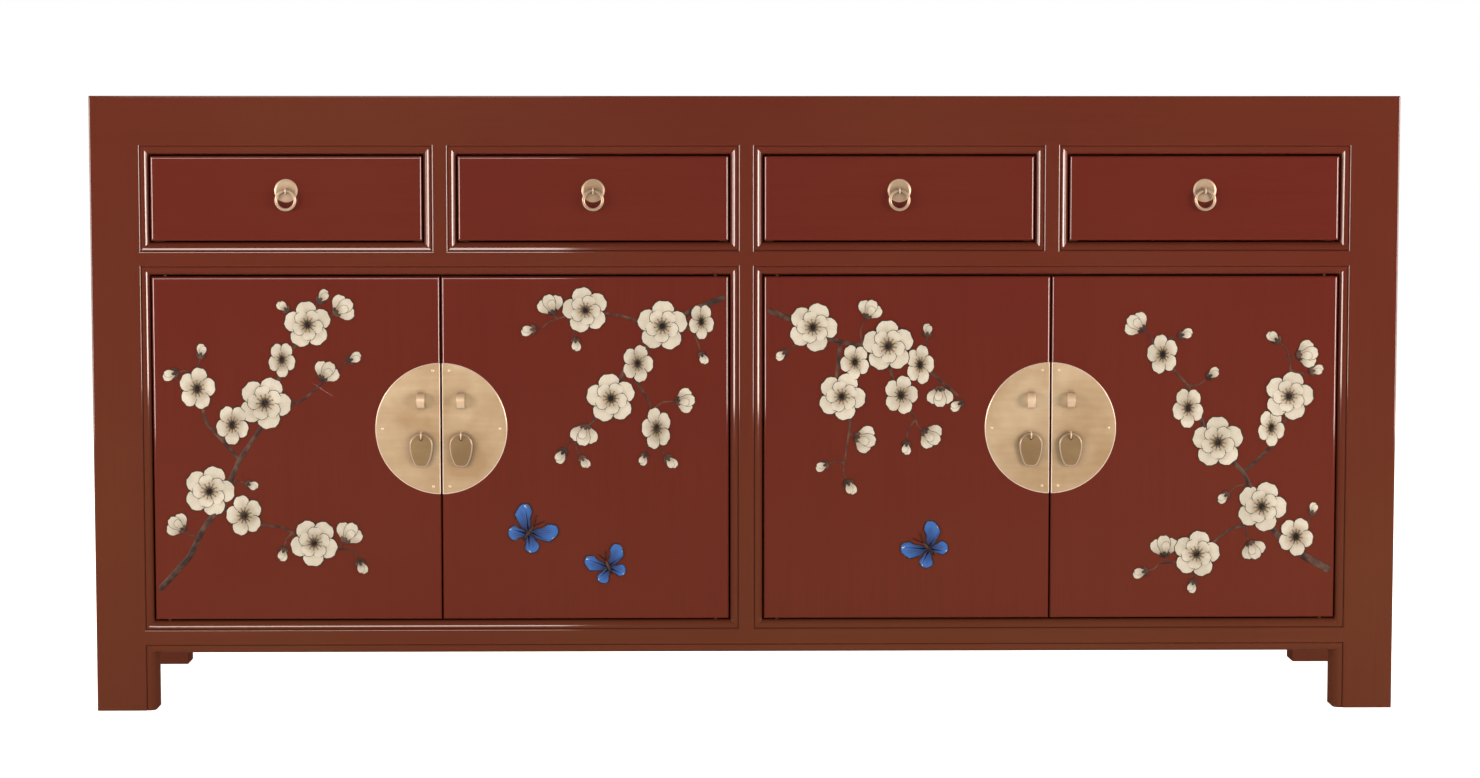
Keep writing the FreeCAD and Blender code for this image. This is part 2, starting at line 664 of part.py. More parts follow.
# Front rails, centre stile and drawer dividers
FRONT_RAIL_X = (f"-{LEG_IN}", LEG_IN)
middle_rail_blank = joined(
    "middle_rail_blank", [block("middle_rail_bar", FRONT_RAIL_X, FRAME, MIDDLE_RAIL)] + middle_tenons
)
middle_rail = less(
    "middle", middle_rail_blank, drawer_beads + door_beads + lower_stubs + [stile_stubs[0]] + upper_pins
)
node("middle_rail", middle_rail)
bottom_board_blank = block(
    "bottom_board_blank",
    ("-width / 2 + side_rail_thickness", "width / 2 - side_rail_thickness"),
    ("frame_depth - groove_depth", f"{BACK_RAIL_LOW} + groove_depth"),
    (f"{BOTTOM_RAIL_TOP} - panel_thickness", BOTTOM_RAIL_TOP),
)
leg_notches = [
    block("front_notch", ("-width / 2", f"-{LEG_IN}"), FRAME, ("0", "height")),
    block("back_notch", ("-width / 2", f"-{BACK_LEG_IN}"), BACK_FRAME, ("0", "height")),
]
leg_notches += [mirrored(notch.Name + "_twin", notch) for notch in leg_notches]
bottom_board = less("bottom_board_notched", bottom_board_blank, leg_notches)
node("bottom_board", bottom_board)
bottom_rail_blank = joined(
    "bottom_rail_blank", [block("bottom_rail_bar", FRONT_RAIL_X, FRAME, BOTTOM_RAIL)] + bottom_tenons
)
bottom_rail = less(
    "bottom", bottom_rail_blank, door_beads + [foot_bead, stile_stubs[1], bottom_board] + lower_pins
)
node("bottom_front_rail", bottom_rail)
stile_x = ("-stile_width / 2", "stile_width / 2")
stile_blank = joined("stile_blank", [block("stile_bar", stile_x, FRAME, DOOR_ROW), *stile_stubs])
node("centre_stile", less("stile", stile_blank, door_beads))
dividers = []
for n, middle in enumerate(DIVIDER_MIDDLES):
    divider_x = (f"{middle} - stile_width / 2", f"{middle} + stile_width / 2")
    divider_bar = block(f"divider_bar_{n}", divider_x, FRAME, DRAWER_ROW)
    divider_blank = joined(f"divider_blank_{n}", [divider_bar, *divider_stubs[n]])
    dividers.append(less(f"divider_{n}", divider_blank, drawer_beads[n:n + 2]))
node("drawer_dividers", group("divider_set", dividers))

# Back and side rails
BACK_RAIL_X = (f"-{BACK_LEG_IN}", BACK_LEG_IN)
back_rail_bar = block("back_rail_bar", BACK_RAIL_X, BACK_RAIL, BOTTOM_RAIL)
back_rail_blank = joined("back_rail_blank", [back_rail_bar] + back_tenons)
node("bottom_back_rail", less("back_rail", back_rail_blank, [back_panel, bottom_board]))
inner_rail_bar = block("inner_rail_bar", BACK_RAIL_X, INNER_RAIL, MIDDLE_RAIL)
node("runner_back_rail", joined("inner_rail", [inner_rail_bar] + inner_tenons))
side_rail_bar = block("side_rail_bar", SIDE_RAIL_X, ("frame_depth", BACK_LEG_FACE), BOTTOM_RAIL)
side_rail = less("side_rail", joined("side_rail_blank", [side_rail_bar] + side_tenons), [side_panel_board])
node("bottom_left_rail", side_rail)
node("bottom_right_rail", mirrored("side_rail_twin", side_rail))
node("back_panel", back_panel)

# Shelves, housed in the side panels and the partition
SHELF_MIDDLE = f"(({BOTTOM_RAIL_TOP} + {MIDDLE_RAIL_LOW}) / 2)"
shelf = block(
    "shelf",
    (f"-{PANEL_IN} - housing_depth", "-partition_thickness / 2 + housing_depth"),
    ("shelf_setback", BACK_LEG_FACE),
    (f"{SHELF_MIDDLE} - shelf_thickness / 2", f"{SHELF_MIDDLE} + shelf_thickness / 2"),
)
right_shelf = mirrored("shelf_twin", shelf)
node("left_shelf", shelf)
node("right_shelf", right_shelf)
side_panel = less("side_panel", side_panel_board, [shelf])
node("left_side_panel", side_panel)
node("right_side_panel", mirrored("side_panel_twin", side_panel))
partition_x = ("-partition_thickness / 2", "partition_thickness / 2")
partition_board = block(
    "partition_board", partition_x, ("frame_depth", BACK_PANEL_FACE), (BOTTOM_RAIL_TOP, MIDDLE_RAIL_LOW)
)
partition_head = block(
    "partition_head", partition_x, ("frame_depth", INNER_RAIL[0]), (MIDDLE_RAIL_LOW, RUNNER_LOW)
)
partition_blank = joined("partition_blank", [partition_board, partition_head])
node("centre_partition", less("partition", partition_blank, [shelf, right_shelf]))

# Drawer runners: a ledge under each drawer side and a rib between two drawers
RUNNER_DEPTH = ("frame_depth", INNER_RAIL[0])
LEDGE_Z = (RUNNER_LOW, DRAWER_LOW)
RIB_Z = (DRAWER_LOW, f"{DRAWER_LOW} + guide_height")


def runner(name, ledge_x, rib_x):
    ledge = block(name + "_ledge", ledge_x, RUNNER_DEPTH, LEDGE_Z)
    rib = block(name + "_rib", rib_x, RUNNER_DEPTH, RIB_Z)
    return joined(name, [ledge, rib])


runners = [
    runner(
        f"runner_{n}",
        (f"{middle} - stile_width / 2 - runner_ledge", f"{middle} + stile_width / 2 + runner_ledge"),
        (f"{middle} - stile_width / 2", f"{middle} + stile_width / 2"),
    )
    for n, middle in enumerate(DIVIDER_MIDDLES)
]
end_runner = runner(
    "runner_end", (f"-{PANEL_IN}", f"-{LEG_IN} + runner_ledge"), (f"-{PANEL_IN}", f"-{LEG_IN}")
)
runners += [end_runner, mirrored("runner_end_twin", end_runner)]
node("drawer_runners", group("runner_set", runners))
stops = [
    block(
        f"stop_{n}",
        (f"{seam} - stop_length / 2", f"{seam} + stop_length / 2"),
        (f"{LEAF_BACK} + slide_clearance", "frame_depth"),
        (f"{MIDDLE_RAIL_LOW} - stop_height", MIDDLE_RAIL_LOW),
    )
    for n, seam in enumerate(SEAMS)
]
node("door_stops", group("stop_set", stops))


def faced_board(name, x, z, width, length):
    """A door or drawer front: a flat board with its front edges rounded over."""
    body = doc.addObject("PartDesign::Body", name)
    sketch = new_sketch(body, name + "_face", "XZ_Plane")
    rectangle(sketch, width, length)
    board = pad(body, sketch, name + "_pad", "leaf_thickness", backward=True)
    front_edges = at_front_of(board.Shape)
    soften(body, board, "Fillet", name + "_edges", "Radius", "leaf_edge_radius", front_edges)
    place(body, x, "face_recess", z)
    return body


def wire_eye(name, x, behind, z, radius, wire_radius):
    """A wire eye whose leg runs back through the wood, with the hole that the leg fills."""
    ring = wire_ring(name + "_ring", "x", x, behind, z, radius, wire_radius)
    leg_start = f"{behind} + {radius}"
    leg_length = f"{LEAF_BACK} + eye_leg_end - ({leg_start})"
    leg = rod(name + "_leg", "y", x, leg_start, z, "eye_leg_radius", leg_length)
    return joined(name, [ring, leg]), leg


def drawer_box(name, left, right):
    """Sides, back and bottom of a drawer, as separate boards."""
    low = f"({DRAWER_LOW} + slide_clearance)"
    high = f"({TOP_RAIL_LOW} - drawer_headroom)"
    back_end = f"({INNER_RAIL[0]} - drawer_back_room)"
    outer_left = f"({left} + reveal_gap + drawer_side_inset)"
    outer_right = f"({right} - reveal_gap - drawer_side_inset)"
    inner_left = f"({outer_left} + drawer_side_thickness)"
    inner_right = f"({outer_right} - drawer_side_thickness)"
    bottom_low = f"({low} + drawer_bottom_rise)"
    bottom_high = f"({bottom_low} + drawer_bottom_thickness)"
    length = (LEAF_BACK, back_end)
    bottom = block(
        name + "_bottom",
        (f"{inner_left} - housing_depth", f"{inner_right} + housing_depth"),
        length,
        (bottom_low, bottom_high),
    )
    sides = [
        less(f"{name}_side_{end}", block(f"{name}_board_{end}", x, length, (low, high)), [bottom])
        for end, x in [("left", (outer_left, inner_left)), ("right", (inner_right, outer_right))]
    ]
    back_depth = (f"{back_end} - drawer_side_thickness", back_end)
    back = block(name + "_back", (inner_left, inner_right), back_depth, (bottom_high, high))
    return group(name, sides + [back, bottom])


def drawer(number):
    """A drawer front with its box, the pull's round plate and wire eye, and the ring in the eye."""
    name = f"drawer_{number + 1}"
    left, right = DRAWER_SPANS[number]
    middle = f"(({left} + {right}) / 2)"
    pull_z = f"(({DRAWER_LOW} + {TOP_RAIL_LOW}) / 2 + pull_rise)"
    rosette_face = "(face_recess - rosette_thickness)"
    eye_depth = f"({rosette_face} - ring_eye_room - ring_eye_radius - ring_eye_wire_radius)"
    eye, leg = wire_eye(name + "_eye", middle, eye_depth, pull_z, "ring_eye_radius", "ring_eye_wire_radius")
    front_width = f"{DRAWER_OPENING} - 2 * reveal_gap"
    front_height = "drawer_opening_height - 2 * reveal_gap"
    front_corner = (f"{left} + reveal_gap", f"{DRAWER_LOW} + reveal_gap")
    front = faced_board(name + "_board", *front_corner, front_width, front_height)
    node(name + "_front", less(name + "_face", front, [leg]))
    node(name + "_box", drawer_box(name + "_carcase", left, right))
    rim_depth = "face_recess - rosette_rim"
    rim = rod(name + "_rim", "y", middle, rim_depth, pull_z, "rosette_radius", "rosette_rim")
    bevel = doc.addObject("Part::Cone", name + "_bevel")
    bevel.Placement = Placement(Vector(), ALONG["y"])
    bind(bevel, "Radius1", "rosette_radius - rosette_bevel")
    bind(bevel, "Radius2", "rosette_radius")
    bind(bevel, "Height", "rosette_thickness - rosette_rim")
    place(bevel, middle, rosette_face, pull_z)
    rosette = less(name + "_rosette", joined(name + "_disc", [rim, bevel]), [leg])
    node(name + "_pull_plate", group(name + "_pull", [rosette, eye]))
    ring_z = f"{pull_z} - ring_radius"
    ring = wire_ring(name + "_hoop", "y", middle, eye_depth, ring_z, "ring_radius", "ring_wire_radius")
    node(name + "_ring", ring)


def half_plate(name, door):
    """Half of the round plate, cut straight along the doors' seam."""
    body = doc.addObject("PartDesign::Body", name)
    sketch = new_sketch(body, name + "_face", "XZ_Plane")
    radius = size("plate_radius")
    circle = Part.Circle(Vector(), Vector(0, 0, 1), radius)
    outward = -float(door["inward"])
    start = -outward * math.pi / 2
    sketch.addGeometry(Part.ArcOfCircle(circle, start, start + math.pi))
    sketch.addGeometry(Part.LineSegment(Vector(0, outward * radius, 0), Vector(0, -outward * radius, 0)))
    chain(sketch, [(0, 3, -1, 1), (0, 2, 1, 1), (1, 2, 0, 1)])
    sketch.addConstraint(Sketcher.Constraint("Vertical", 1))
    constrain(sketch, "radius", "plate_radius", "Radius", 0, radius)
    inset = "(reveal_gap / 2 + plate_seam_inset)"
    constrain(sketch, "seam", f"-1 * {door['inward']} * {inset}", "DistanceX", -1, 1, 1, 1, outward)
    plate = pad(body, sketch, name + "_pad", "plate_thickness")
    front_edges = at_front_of(plate.Shape)
    soften(body, plate, "Chamfer", name + "_edge", "Size", "plate_bevel", front_edges)
    place(body, door["seam"], "face_recess", PLATE_MIDDLE)
    return body


def plate_nails(name, door):
    """The brass nails round the plate, as heads on shanks."""
    heads = []
    shanks = []
    for count, angle in enumerate(["nail_angle", "0", "-nail_angle"]):
        x = f"({door['seam']} - {door['inward']} * nail_circle_radius * cos({angle} * 1 deg))"
        z = f"({PLATE_MIDDLE} + nail_circle_radius * sin({angle} * 1 deg))"
        shank_name = f"{name}_shank_{count}"
        shank = rod(shank_name, "y", x, PLATE_FACE, z, "nail_shank_radius", "plate_thickness + nail_length")
        dome = doc.addObject("Part::Sphere", f"{name}_dome_{count}")
        dome.Placement = Placement(Vector(), Rotation(Vector(1, 0, 0), 90))
        bind(dome, "Radius", "nail_dome_radius")
        bind(dome, "Angle1", "nail_dome_angle")
        place(dome, x, f"{PLATE_FACE} + nail_dome_radius * sin(nail_dome_angle * 1 deg)", z)
        heads.append(joined(f"{name}_nail_{count}", [dome, shank]))
        shanks.append(shank)
    return heads, shanks


def lock_loop(name, x):
    """A strap bent to a loop, for the bar of a lock."""
    body = doc.addObject("PartDesign::Body", name)
    sketch = new_sketch(body, name + "_bend", "YZ_Plane")
    outer = size("loop_radius")
    inner = outer - size("loop_thickness")
    reach = size("loop_reach") - outer
    for radius in (outer, inner):
        bend = Part.Circle(Vector(), Vector(0, 0, 1), radius)
        sketch.addGeometry(Part.ArcOfCircle(bend, math.pi / 2, 3 * math.pi / 2))
    for radius in (outer, -outer, inner, -inner):
        sketch.addGeometry(Part.LineSegment(Vector(0, radius, 0), Vector(reach, radius, 0)))
    for side in (1, -1):
        sketch.addGeometry(Part.LineSegment(Vector(reach, side * outer, 0), Vector(reach, side * inner, 0)))
    chain(sketch, [(0, 3, -1, 1), (1, 3, -1, 1), (0, 1, 2, 1), (0, 2, 3, 1), (1, 1, 4, 1), (1, 2, 5, 1)])
    chain(sketch, [(2, 2, 6, 1), (4, 2, 6, 2), (3, 2, 7, 1), (5, 2, 7, 2)])
    for bend in (0, 1):
        for end in (1, 2):
            sketch.addConstraint(Sketcher.Constraint("PointOnObject", bend, end, -2))
    for leg in (2, 3, 4, 5):
        sketch.addConstraint(Sketcher.Constraint("Horizontal", leg))
        constrain(sketch, f"leg_{leg}", "loop_reach - loop_radius", "DistanceX", -1, 1, leg, 2, reach)
    constrain(sketch, "outside", "loop_radius", "Radius", 0, outer)
    constrain(sketch, "inside", "loop_radius - loop_thickness", "Radius", 1, inner)
    strap = pad(body, sketch, name + "_pad", "loop_width")
    plate_side = strap.Shape.BoundBox.YMax - TOUCH

    def on_rim(edge):
        """The edges that follow the bend, without those on the plate."""
        return edge.BoundBox.XLength < TOUCH and edge.BoundBox.YMin < plate_side

    soften(body, strap, "Fillet", name + "_rim", "Radius", "loop_edge_radius", on_rim)
    bend_depth = f"{PLATE_FACE} - loop_reach + loop_radius"
    place(body, f"{x} - loop_width / 2", bend_depth, f"{PLATE_MIDDLE} + loop_rise")
    return body


def drop_handle(name, x, behind, z):
    """A flat drop: round above, narrowing on two arcs to a flat foot, with a bevelled rim."""
    body = doc.addObject("PartDesign::Body", name)
    sketch = new_sketch(body, name + "_face", "XZ_Plane")
    half = size("drop_width") / 2
    foot = size("drop_foot") / 2
    fall = size("drop_length") - half
    narrowing = half - foot
    side_radius = (narrowing**2 + fall**2) / (2 * narrowing)
    side_middle = Vector(side_radius - half, 0, 0)
    sweep = Vector(side_radius - foot, fall, 0).getAngle(Vector(1, 0, 0))
    up = Vector(0, 0, 1)
    sketch.addGeometry(Part.ArcOfCircle(Part.Circle(Vector(), up, half), 0, math.pi))
    left_side = Part.Circle(side_middle, up, side_radius)
    sketch.addGeometry(Part.ArcOfCircle(left_side, math.pi, math.pi + sweep))
    right_side = Part.Circle(-side_middle, up, side_radius)
    sketch.addGeometry(Part.ArcOfCircle(right_side, -sweep, 0))
    sketch.addGeometry(Part.LineSegment(Vector(-foot, -fall, 0), Vector(foot, -fall, 0)))
    chain(sketch, [(0, 3, -1, 1), (0, 2, 1, 1), (1, 2, 3, 1), (3, 2, 2, 1), (2, 2, 0, 1)])
    for curve, point in [(0, 1), (0, 2), (1, 3), (2, 3)]:
        sketch.addConstraint(Sketcher.Constraint("PointOnObject", curve, point, -1))
    sketch.addConstraint(Sketcher.Constraint("Horizontal", 3))
    constrain(sketch, "top", "drop_width / 2", "Radius", 0, half)
    constrain(sketch, "foot_right", "drop_foot / 2", "DistanceX", -1, 1, 3, 2, foot)
    constrain(sketch, "foot_left", "-drop_foot / 2", "DistanceX", -1, 1, 3, 1, -foot)
    constrain(sketch, "fall", "drop_width / 2 - drop_length", "DistanceY", -1, 1, 3, 1, -fall)
    flat_drop = pad(body, sketch, name + "_pad", "drop_thickness")
    foot_corners = at_foot_of(flat_drop.Shape)
    soft_drop = soften(body, flat_drop, "Fillet", name + "_foot", "Radius", "drop_corner_radius", foot_corners)
    front_edges = at_front_of(soft_drop.Shape)
    soften(body, soft_drop, "Chamfer", name + "_rim", "Size", "drop_bevel", front_edges)
    place(body, x, f"{behind} + drop_thickness / 2", f"{z} + drop_top_rise - drop_width / 2")
    hole_start = f"{behind} - drop_thickness"
    hole_z = f"{z} - eye_radius"
    hole = rod(name + "_hole", "y", x, hole_start, hole_z, "drop_hole_radius", "2 * drop_thickness")
    return less(name + "_pierced", body, [hole])


def door_leaf(number):
    """A door with its battens, half plate, lock loop, wire eye and drop handle."""
    door = doors[number]
    name = f"door_{number + 1}"
    fitting_x = f"({door['seam']} - {door['inward']} * fitting_spread)"
    eye_depth = f"({PLATE_FACE} - eye_standoff)"
    eye_z = f"({PLATE_MIDDLE} - eye_fall)"
    eye, leg = wire_eye(name + "_eye", fitting_x, eye_depth, eye_z, "eye_radius", "eye_wire_radius")
    nails, shanks = plate_nails(name, door)
    pin_holes = []
    for end, start in [("upper", f"{LEAF_HIGH} - pivot_grip"), ("lower", f"{LEAF_LOW} - reveal_gap")]:
        hole_name = f"{name}_pin_hole_{end}"
        hole_length = "pivot_grip + reveal_gap"
        hole_radius = "pivot_radius + pivot_clearance"
        pin_holes.append(rod(hole_name, "z", door["pivot"], PIVOT_DEPTH, start, hole_radius, hole_length))
    board = faced_board(name + "_board", door["left"], LEAF_LOW, LEAF_WIDTH, f"{LEAF_HIGH} - {LEAF_LOW}")
    panel = less(name + "_panel", board, pin_holes + shanks + [leg])
    batten_x = (f"{door['left']} + batten_inset", f"{door['left']} + {LEAF_WIDTH} - batten_inset")
    batten_depth = (LEAF_BACK, f"{LEAF_BACK} + batten_thickness")
    battens = [
        block(f"{name}_batten_{end}", batten_x, batten_depth, z)
        for end, z in [
            ("lower", (f"{LEAF_LOW} + batten_inset", f"{LEAF_LOW} + batten_inset + batten_width")),
            ("upper", (f"{LEAF_HIGH} - batten_inset - batten_width", f"{LEAF_HIGH} - batten_inset")),
        ]
    ]
    node(name + "_leaf", group(name + "_boards", [panel] + battens))
    plate = less(name + "_pierced_plate", half_plate(name + "_half_plate", door), shanks + [leg])
    node(name + "_plate", group(name + "_plate_set", [plate] + nails))
    node(name + "_loops", group(name + "_loop_set", [lock_loop(name + "_lock_loop", fitting_x), eye]))
    node(name + "_drop", drop_handle(name + "_handle", fitting_x, eye_depth, eye_z))


for drawer_number in range(DRAWER_COUNT):
    drawer(drawer_number)
for door_number in range(DOOR_COUNT):
    door_leaf(door_number)
doc.recompute()

failed = [item.Label for item in doc.Objects if {"Invalid", "Error"} & set(item.State)]
failed += [piece.Label for piece in nodes if piece.Shape.isNull() or not piece.Shape.isValid()]
if failed:
    raise RuntimeError(f"these did not build: {failed}")

os.makedirs("parts", exist_ok=True)
for piece in nodes:
    piece.Shape.exportStep(f"parts/{piece.Label}.step")
    box = piece.Shape.BoundBox
    extent = f"{box.XLength:.1f} x {box.YLength:.1f} x {box.ZLength:.1f}"
    print(f"{piece.Label}: {len(piece.Shape.Solids)} solid(s), {extent}")
print(f"{len(nodes)} nodes")
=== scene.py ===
# %% [markdown]
# # A red lacquered sideboard
# The cabinet, its joints and its brass come from the CAD model, which is loaded as a fixed frame in
# metres. This lesson adds what the CAD leaves out: the studio, the finishes, and the blossom sprays
# painted on the doors.

# %% Load the frame
import json
import math
import random

import bmesh
import bpy
from mathutils import Matrix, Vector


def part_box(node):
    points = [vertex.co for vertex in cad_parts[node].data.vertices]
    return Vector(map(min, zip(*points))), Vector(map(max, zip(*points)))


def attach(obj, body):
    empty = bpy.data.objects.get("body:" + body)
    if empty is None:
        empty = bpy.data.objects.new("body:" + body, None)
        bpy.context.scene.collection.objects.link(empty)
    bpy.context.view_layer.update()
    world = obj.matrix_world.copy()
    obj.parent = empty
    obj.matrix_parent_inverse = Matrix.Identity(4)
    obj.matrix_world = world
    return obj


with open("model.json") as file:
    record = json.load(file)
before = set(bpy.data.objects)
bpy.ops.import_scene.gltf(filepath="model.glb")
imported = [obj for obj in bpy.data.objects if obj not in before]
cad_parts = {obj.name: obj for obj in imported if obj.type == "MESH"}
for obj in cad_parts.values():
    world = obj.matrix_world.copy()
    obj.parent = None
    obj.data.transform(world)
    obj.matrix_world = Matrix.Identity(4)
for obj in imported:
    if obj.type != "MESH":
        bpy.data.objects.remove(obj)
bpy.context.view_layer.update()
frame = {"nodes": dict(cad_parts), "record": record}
MM = 0.001

# %% [markdown]
# ## The camera
# The photograph was taken with a long lens from just left of the middle, at about the height of the top.
# A camera could be placed by eye, but fifteen points of the cabinet, its corners, feet and fittings, are
# known both in the CAD model and in the picture, so the place, the turn and the lens were solved from
# those.

# %% Place the camera
CAMERA_PLACE = (-0.0766, -4.7066, 0.7989)
CAMERA_TURN = math.radians(0.866)
CAMERA_TILT = math.radians(4.484)
LENS_MM = 79.32

bpy.ops.object.camera_add(
    location=CAMERA_PLACE, rotation=(math.pi / 2 - CAMERA_TILT, 0, -CAMERA_TURN)
)
camera = bpy.context.object
camera.data.lens = LENS_MM
bpy.context.scene.camera = camera
print("camera", LENS_MM, "mm at", CAMERA_PLACE)

# %% [markdown]
# ## The studio
# The cabinet stands on a wide pale floor before a white ground. The floor could be a plain sheet, but
# then the shadow under the cabinet is nearly black, so its paint glows a little and the shadow stays
# pale. The world is white where the camera looks past the cabinet. Everything else sees a dark grey, and
# the lacquer doesn't mirror the floor, or the whole front would turn milky with reflected white.

# %% Lay the floor and set the world
FLOOR_SIZE = 80
FLOOR_PAINT = (0.82, 0.82, 0.82, 1)
FLOOR_GLOW = 0.95
WORLD_GREY = 0.06

bpy.ops.object.select_all(action="DESELECT")
bpy.ops.mesh.primitive_plane_add(size=FLOOR_SIZE)
floor = bpy.context.object
floor.name = "studio_floor"
floor_paint = bpy.data.materials.new("studio_floor")
floor_paint.use_nodes = True
floor_shader = floor_paint.node_tree.nodes["Principled BSDF"]
floor_shader.inputs["Base Color"].default_value = FLOOR_PAINT
floor_shader.inputs["Roughness"].default_value = 0.9
floor_shader.inputs["Specular IOR Level"].default_value = 0
floor_shader.inputs["Emission Color"].default_value = (1, 1, 1, 1)
floor_shader.inputs["Emission Strength"].default_value = FLOOR_GLOW
floor.data.materials.append(floor_paint)
floor.visible_glossy = False

world = bpy.data.worlds.new("studio_world")
bpy.context.scene.world = world
world.use_nodes = True
sky = world.node_tree.nodes["Background"]
light_path = world.node_tree.nodes.new("ShaderNodeLightPath")
sky_mix = world.node_tree.nodes.new("ShaderNodeMix")
sky_mix.data_type = "RGBA"
sky_mix.inputs[6].default_value = (WORLD_GREY, WORLD_GREY, WORLD_GREY, 1)
sky_mix.inputs[7].default_value = (1, 1, 1, 1)
world.node_tree.links.new(light_path.outputs["Is Camera Ray"], sky_mix.inputs[0])
world.node_tree.links.new(sky_mix.outputs[2], sky.inputs["Color"])
bpy.context.scene.view_settings.view_transform = "Standard"
print("floor", FLOOR_SIZE, "m, world grey", WORLD_GREY)

# %% [markdown]
# ## The lights
# In the photograph the upright beads carry a bright line on both sides of every opening, which fades
# towards the floor, and each brass loop throws a soft shadow to both sides, a little longer than the loop
# stands out. So two tall lamps stand well to the left and right, just off the floor. The lower beads
# shine only on the left half, which asks for one more lamp before the left half, just too high for the
# flat doors to mirror it. The bright lines are pinkish, so the lamps are a little warm. Two lamps at the
# sides, one behind and one above light the cabinet's ends, back and top.

# %% Set up the lamps
LAMP_TINT = (1.0, 0.86, 0.79)
LAMPS = [
    # name, place, aimed at, width, height, brightness
    ("tall_lamp_left", (-2.9, -2.5, 0.8), (0, -0.2, 0.8), 1.5, 1.4, 13.5),
    ("tall_lamp_right", (2.9, -2.5, 0.8), (0, -0.2, 0.8), 1.5, 1.4, 17),
    ("front_lamp_left", (-1.0, -4.3, 1.7), (-0.9, -0.2, 0.8), 1.2, 1.2, 9),
    ("side_lamp_left", (-3.9, -0.9, 1.4), (-0.5, -0.1, 0.4), 1.0, 2.0, 6),
    ("side_lamp_right", (3.9, -0.9, 1.4), (0.5, -0.1, 0.4), 1.0, 2.0, 6),
    ("back_lamp", (0.4, 3.6, 3.0), (0, 0.2, 0.4), 3.0, 1.5, 6),
    ("top_lamp", (0, 0.9, 3.4), (0, 0.2, 0.8), 2.4, 1.2, 8),
]


def add_lamp(name, place, aim, width, height, brightness):
    """A soft rectangular lamp. Brightness is what its face shows, whatever its size."""
    bpy.ops.object.light_add(type="AREA", location=place)
    lamp = bpy.context.object
    lamp.name = name
    lamp.data.shape = "RECTANGLE"
    lamp.data.size = width
    lamp.data.size_y = height
    lamp.data.energy = brightness * math.pi * width * height
    lamp.data.color = LAMP_TINT
    across = [there - here for here, there in zip(place, aim)]
    flat = math.hypot(across[0], across[1])
    lamp.rotation_euler = (math.atan2(flat, -across[2]), 0, math.atan2(-across[0], across[1]))


for lamp_row in LAMPS:
    add_lamp(*lamp_row)
print(len(LAMPS), "lamps")

# %% [markdown]
# ## Tools for finishes
# A finish is a small network of shader nodes. The helpers below add a node, join two nodes, and stretch a
# noise along the wood, so that each recipe further down reads as a list of what the painter did.


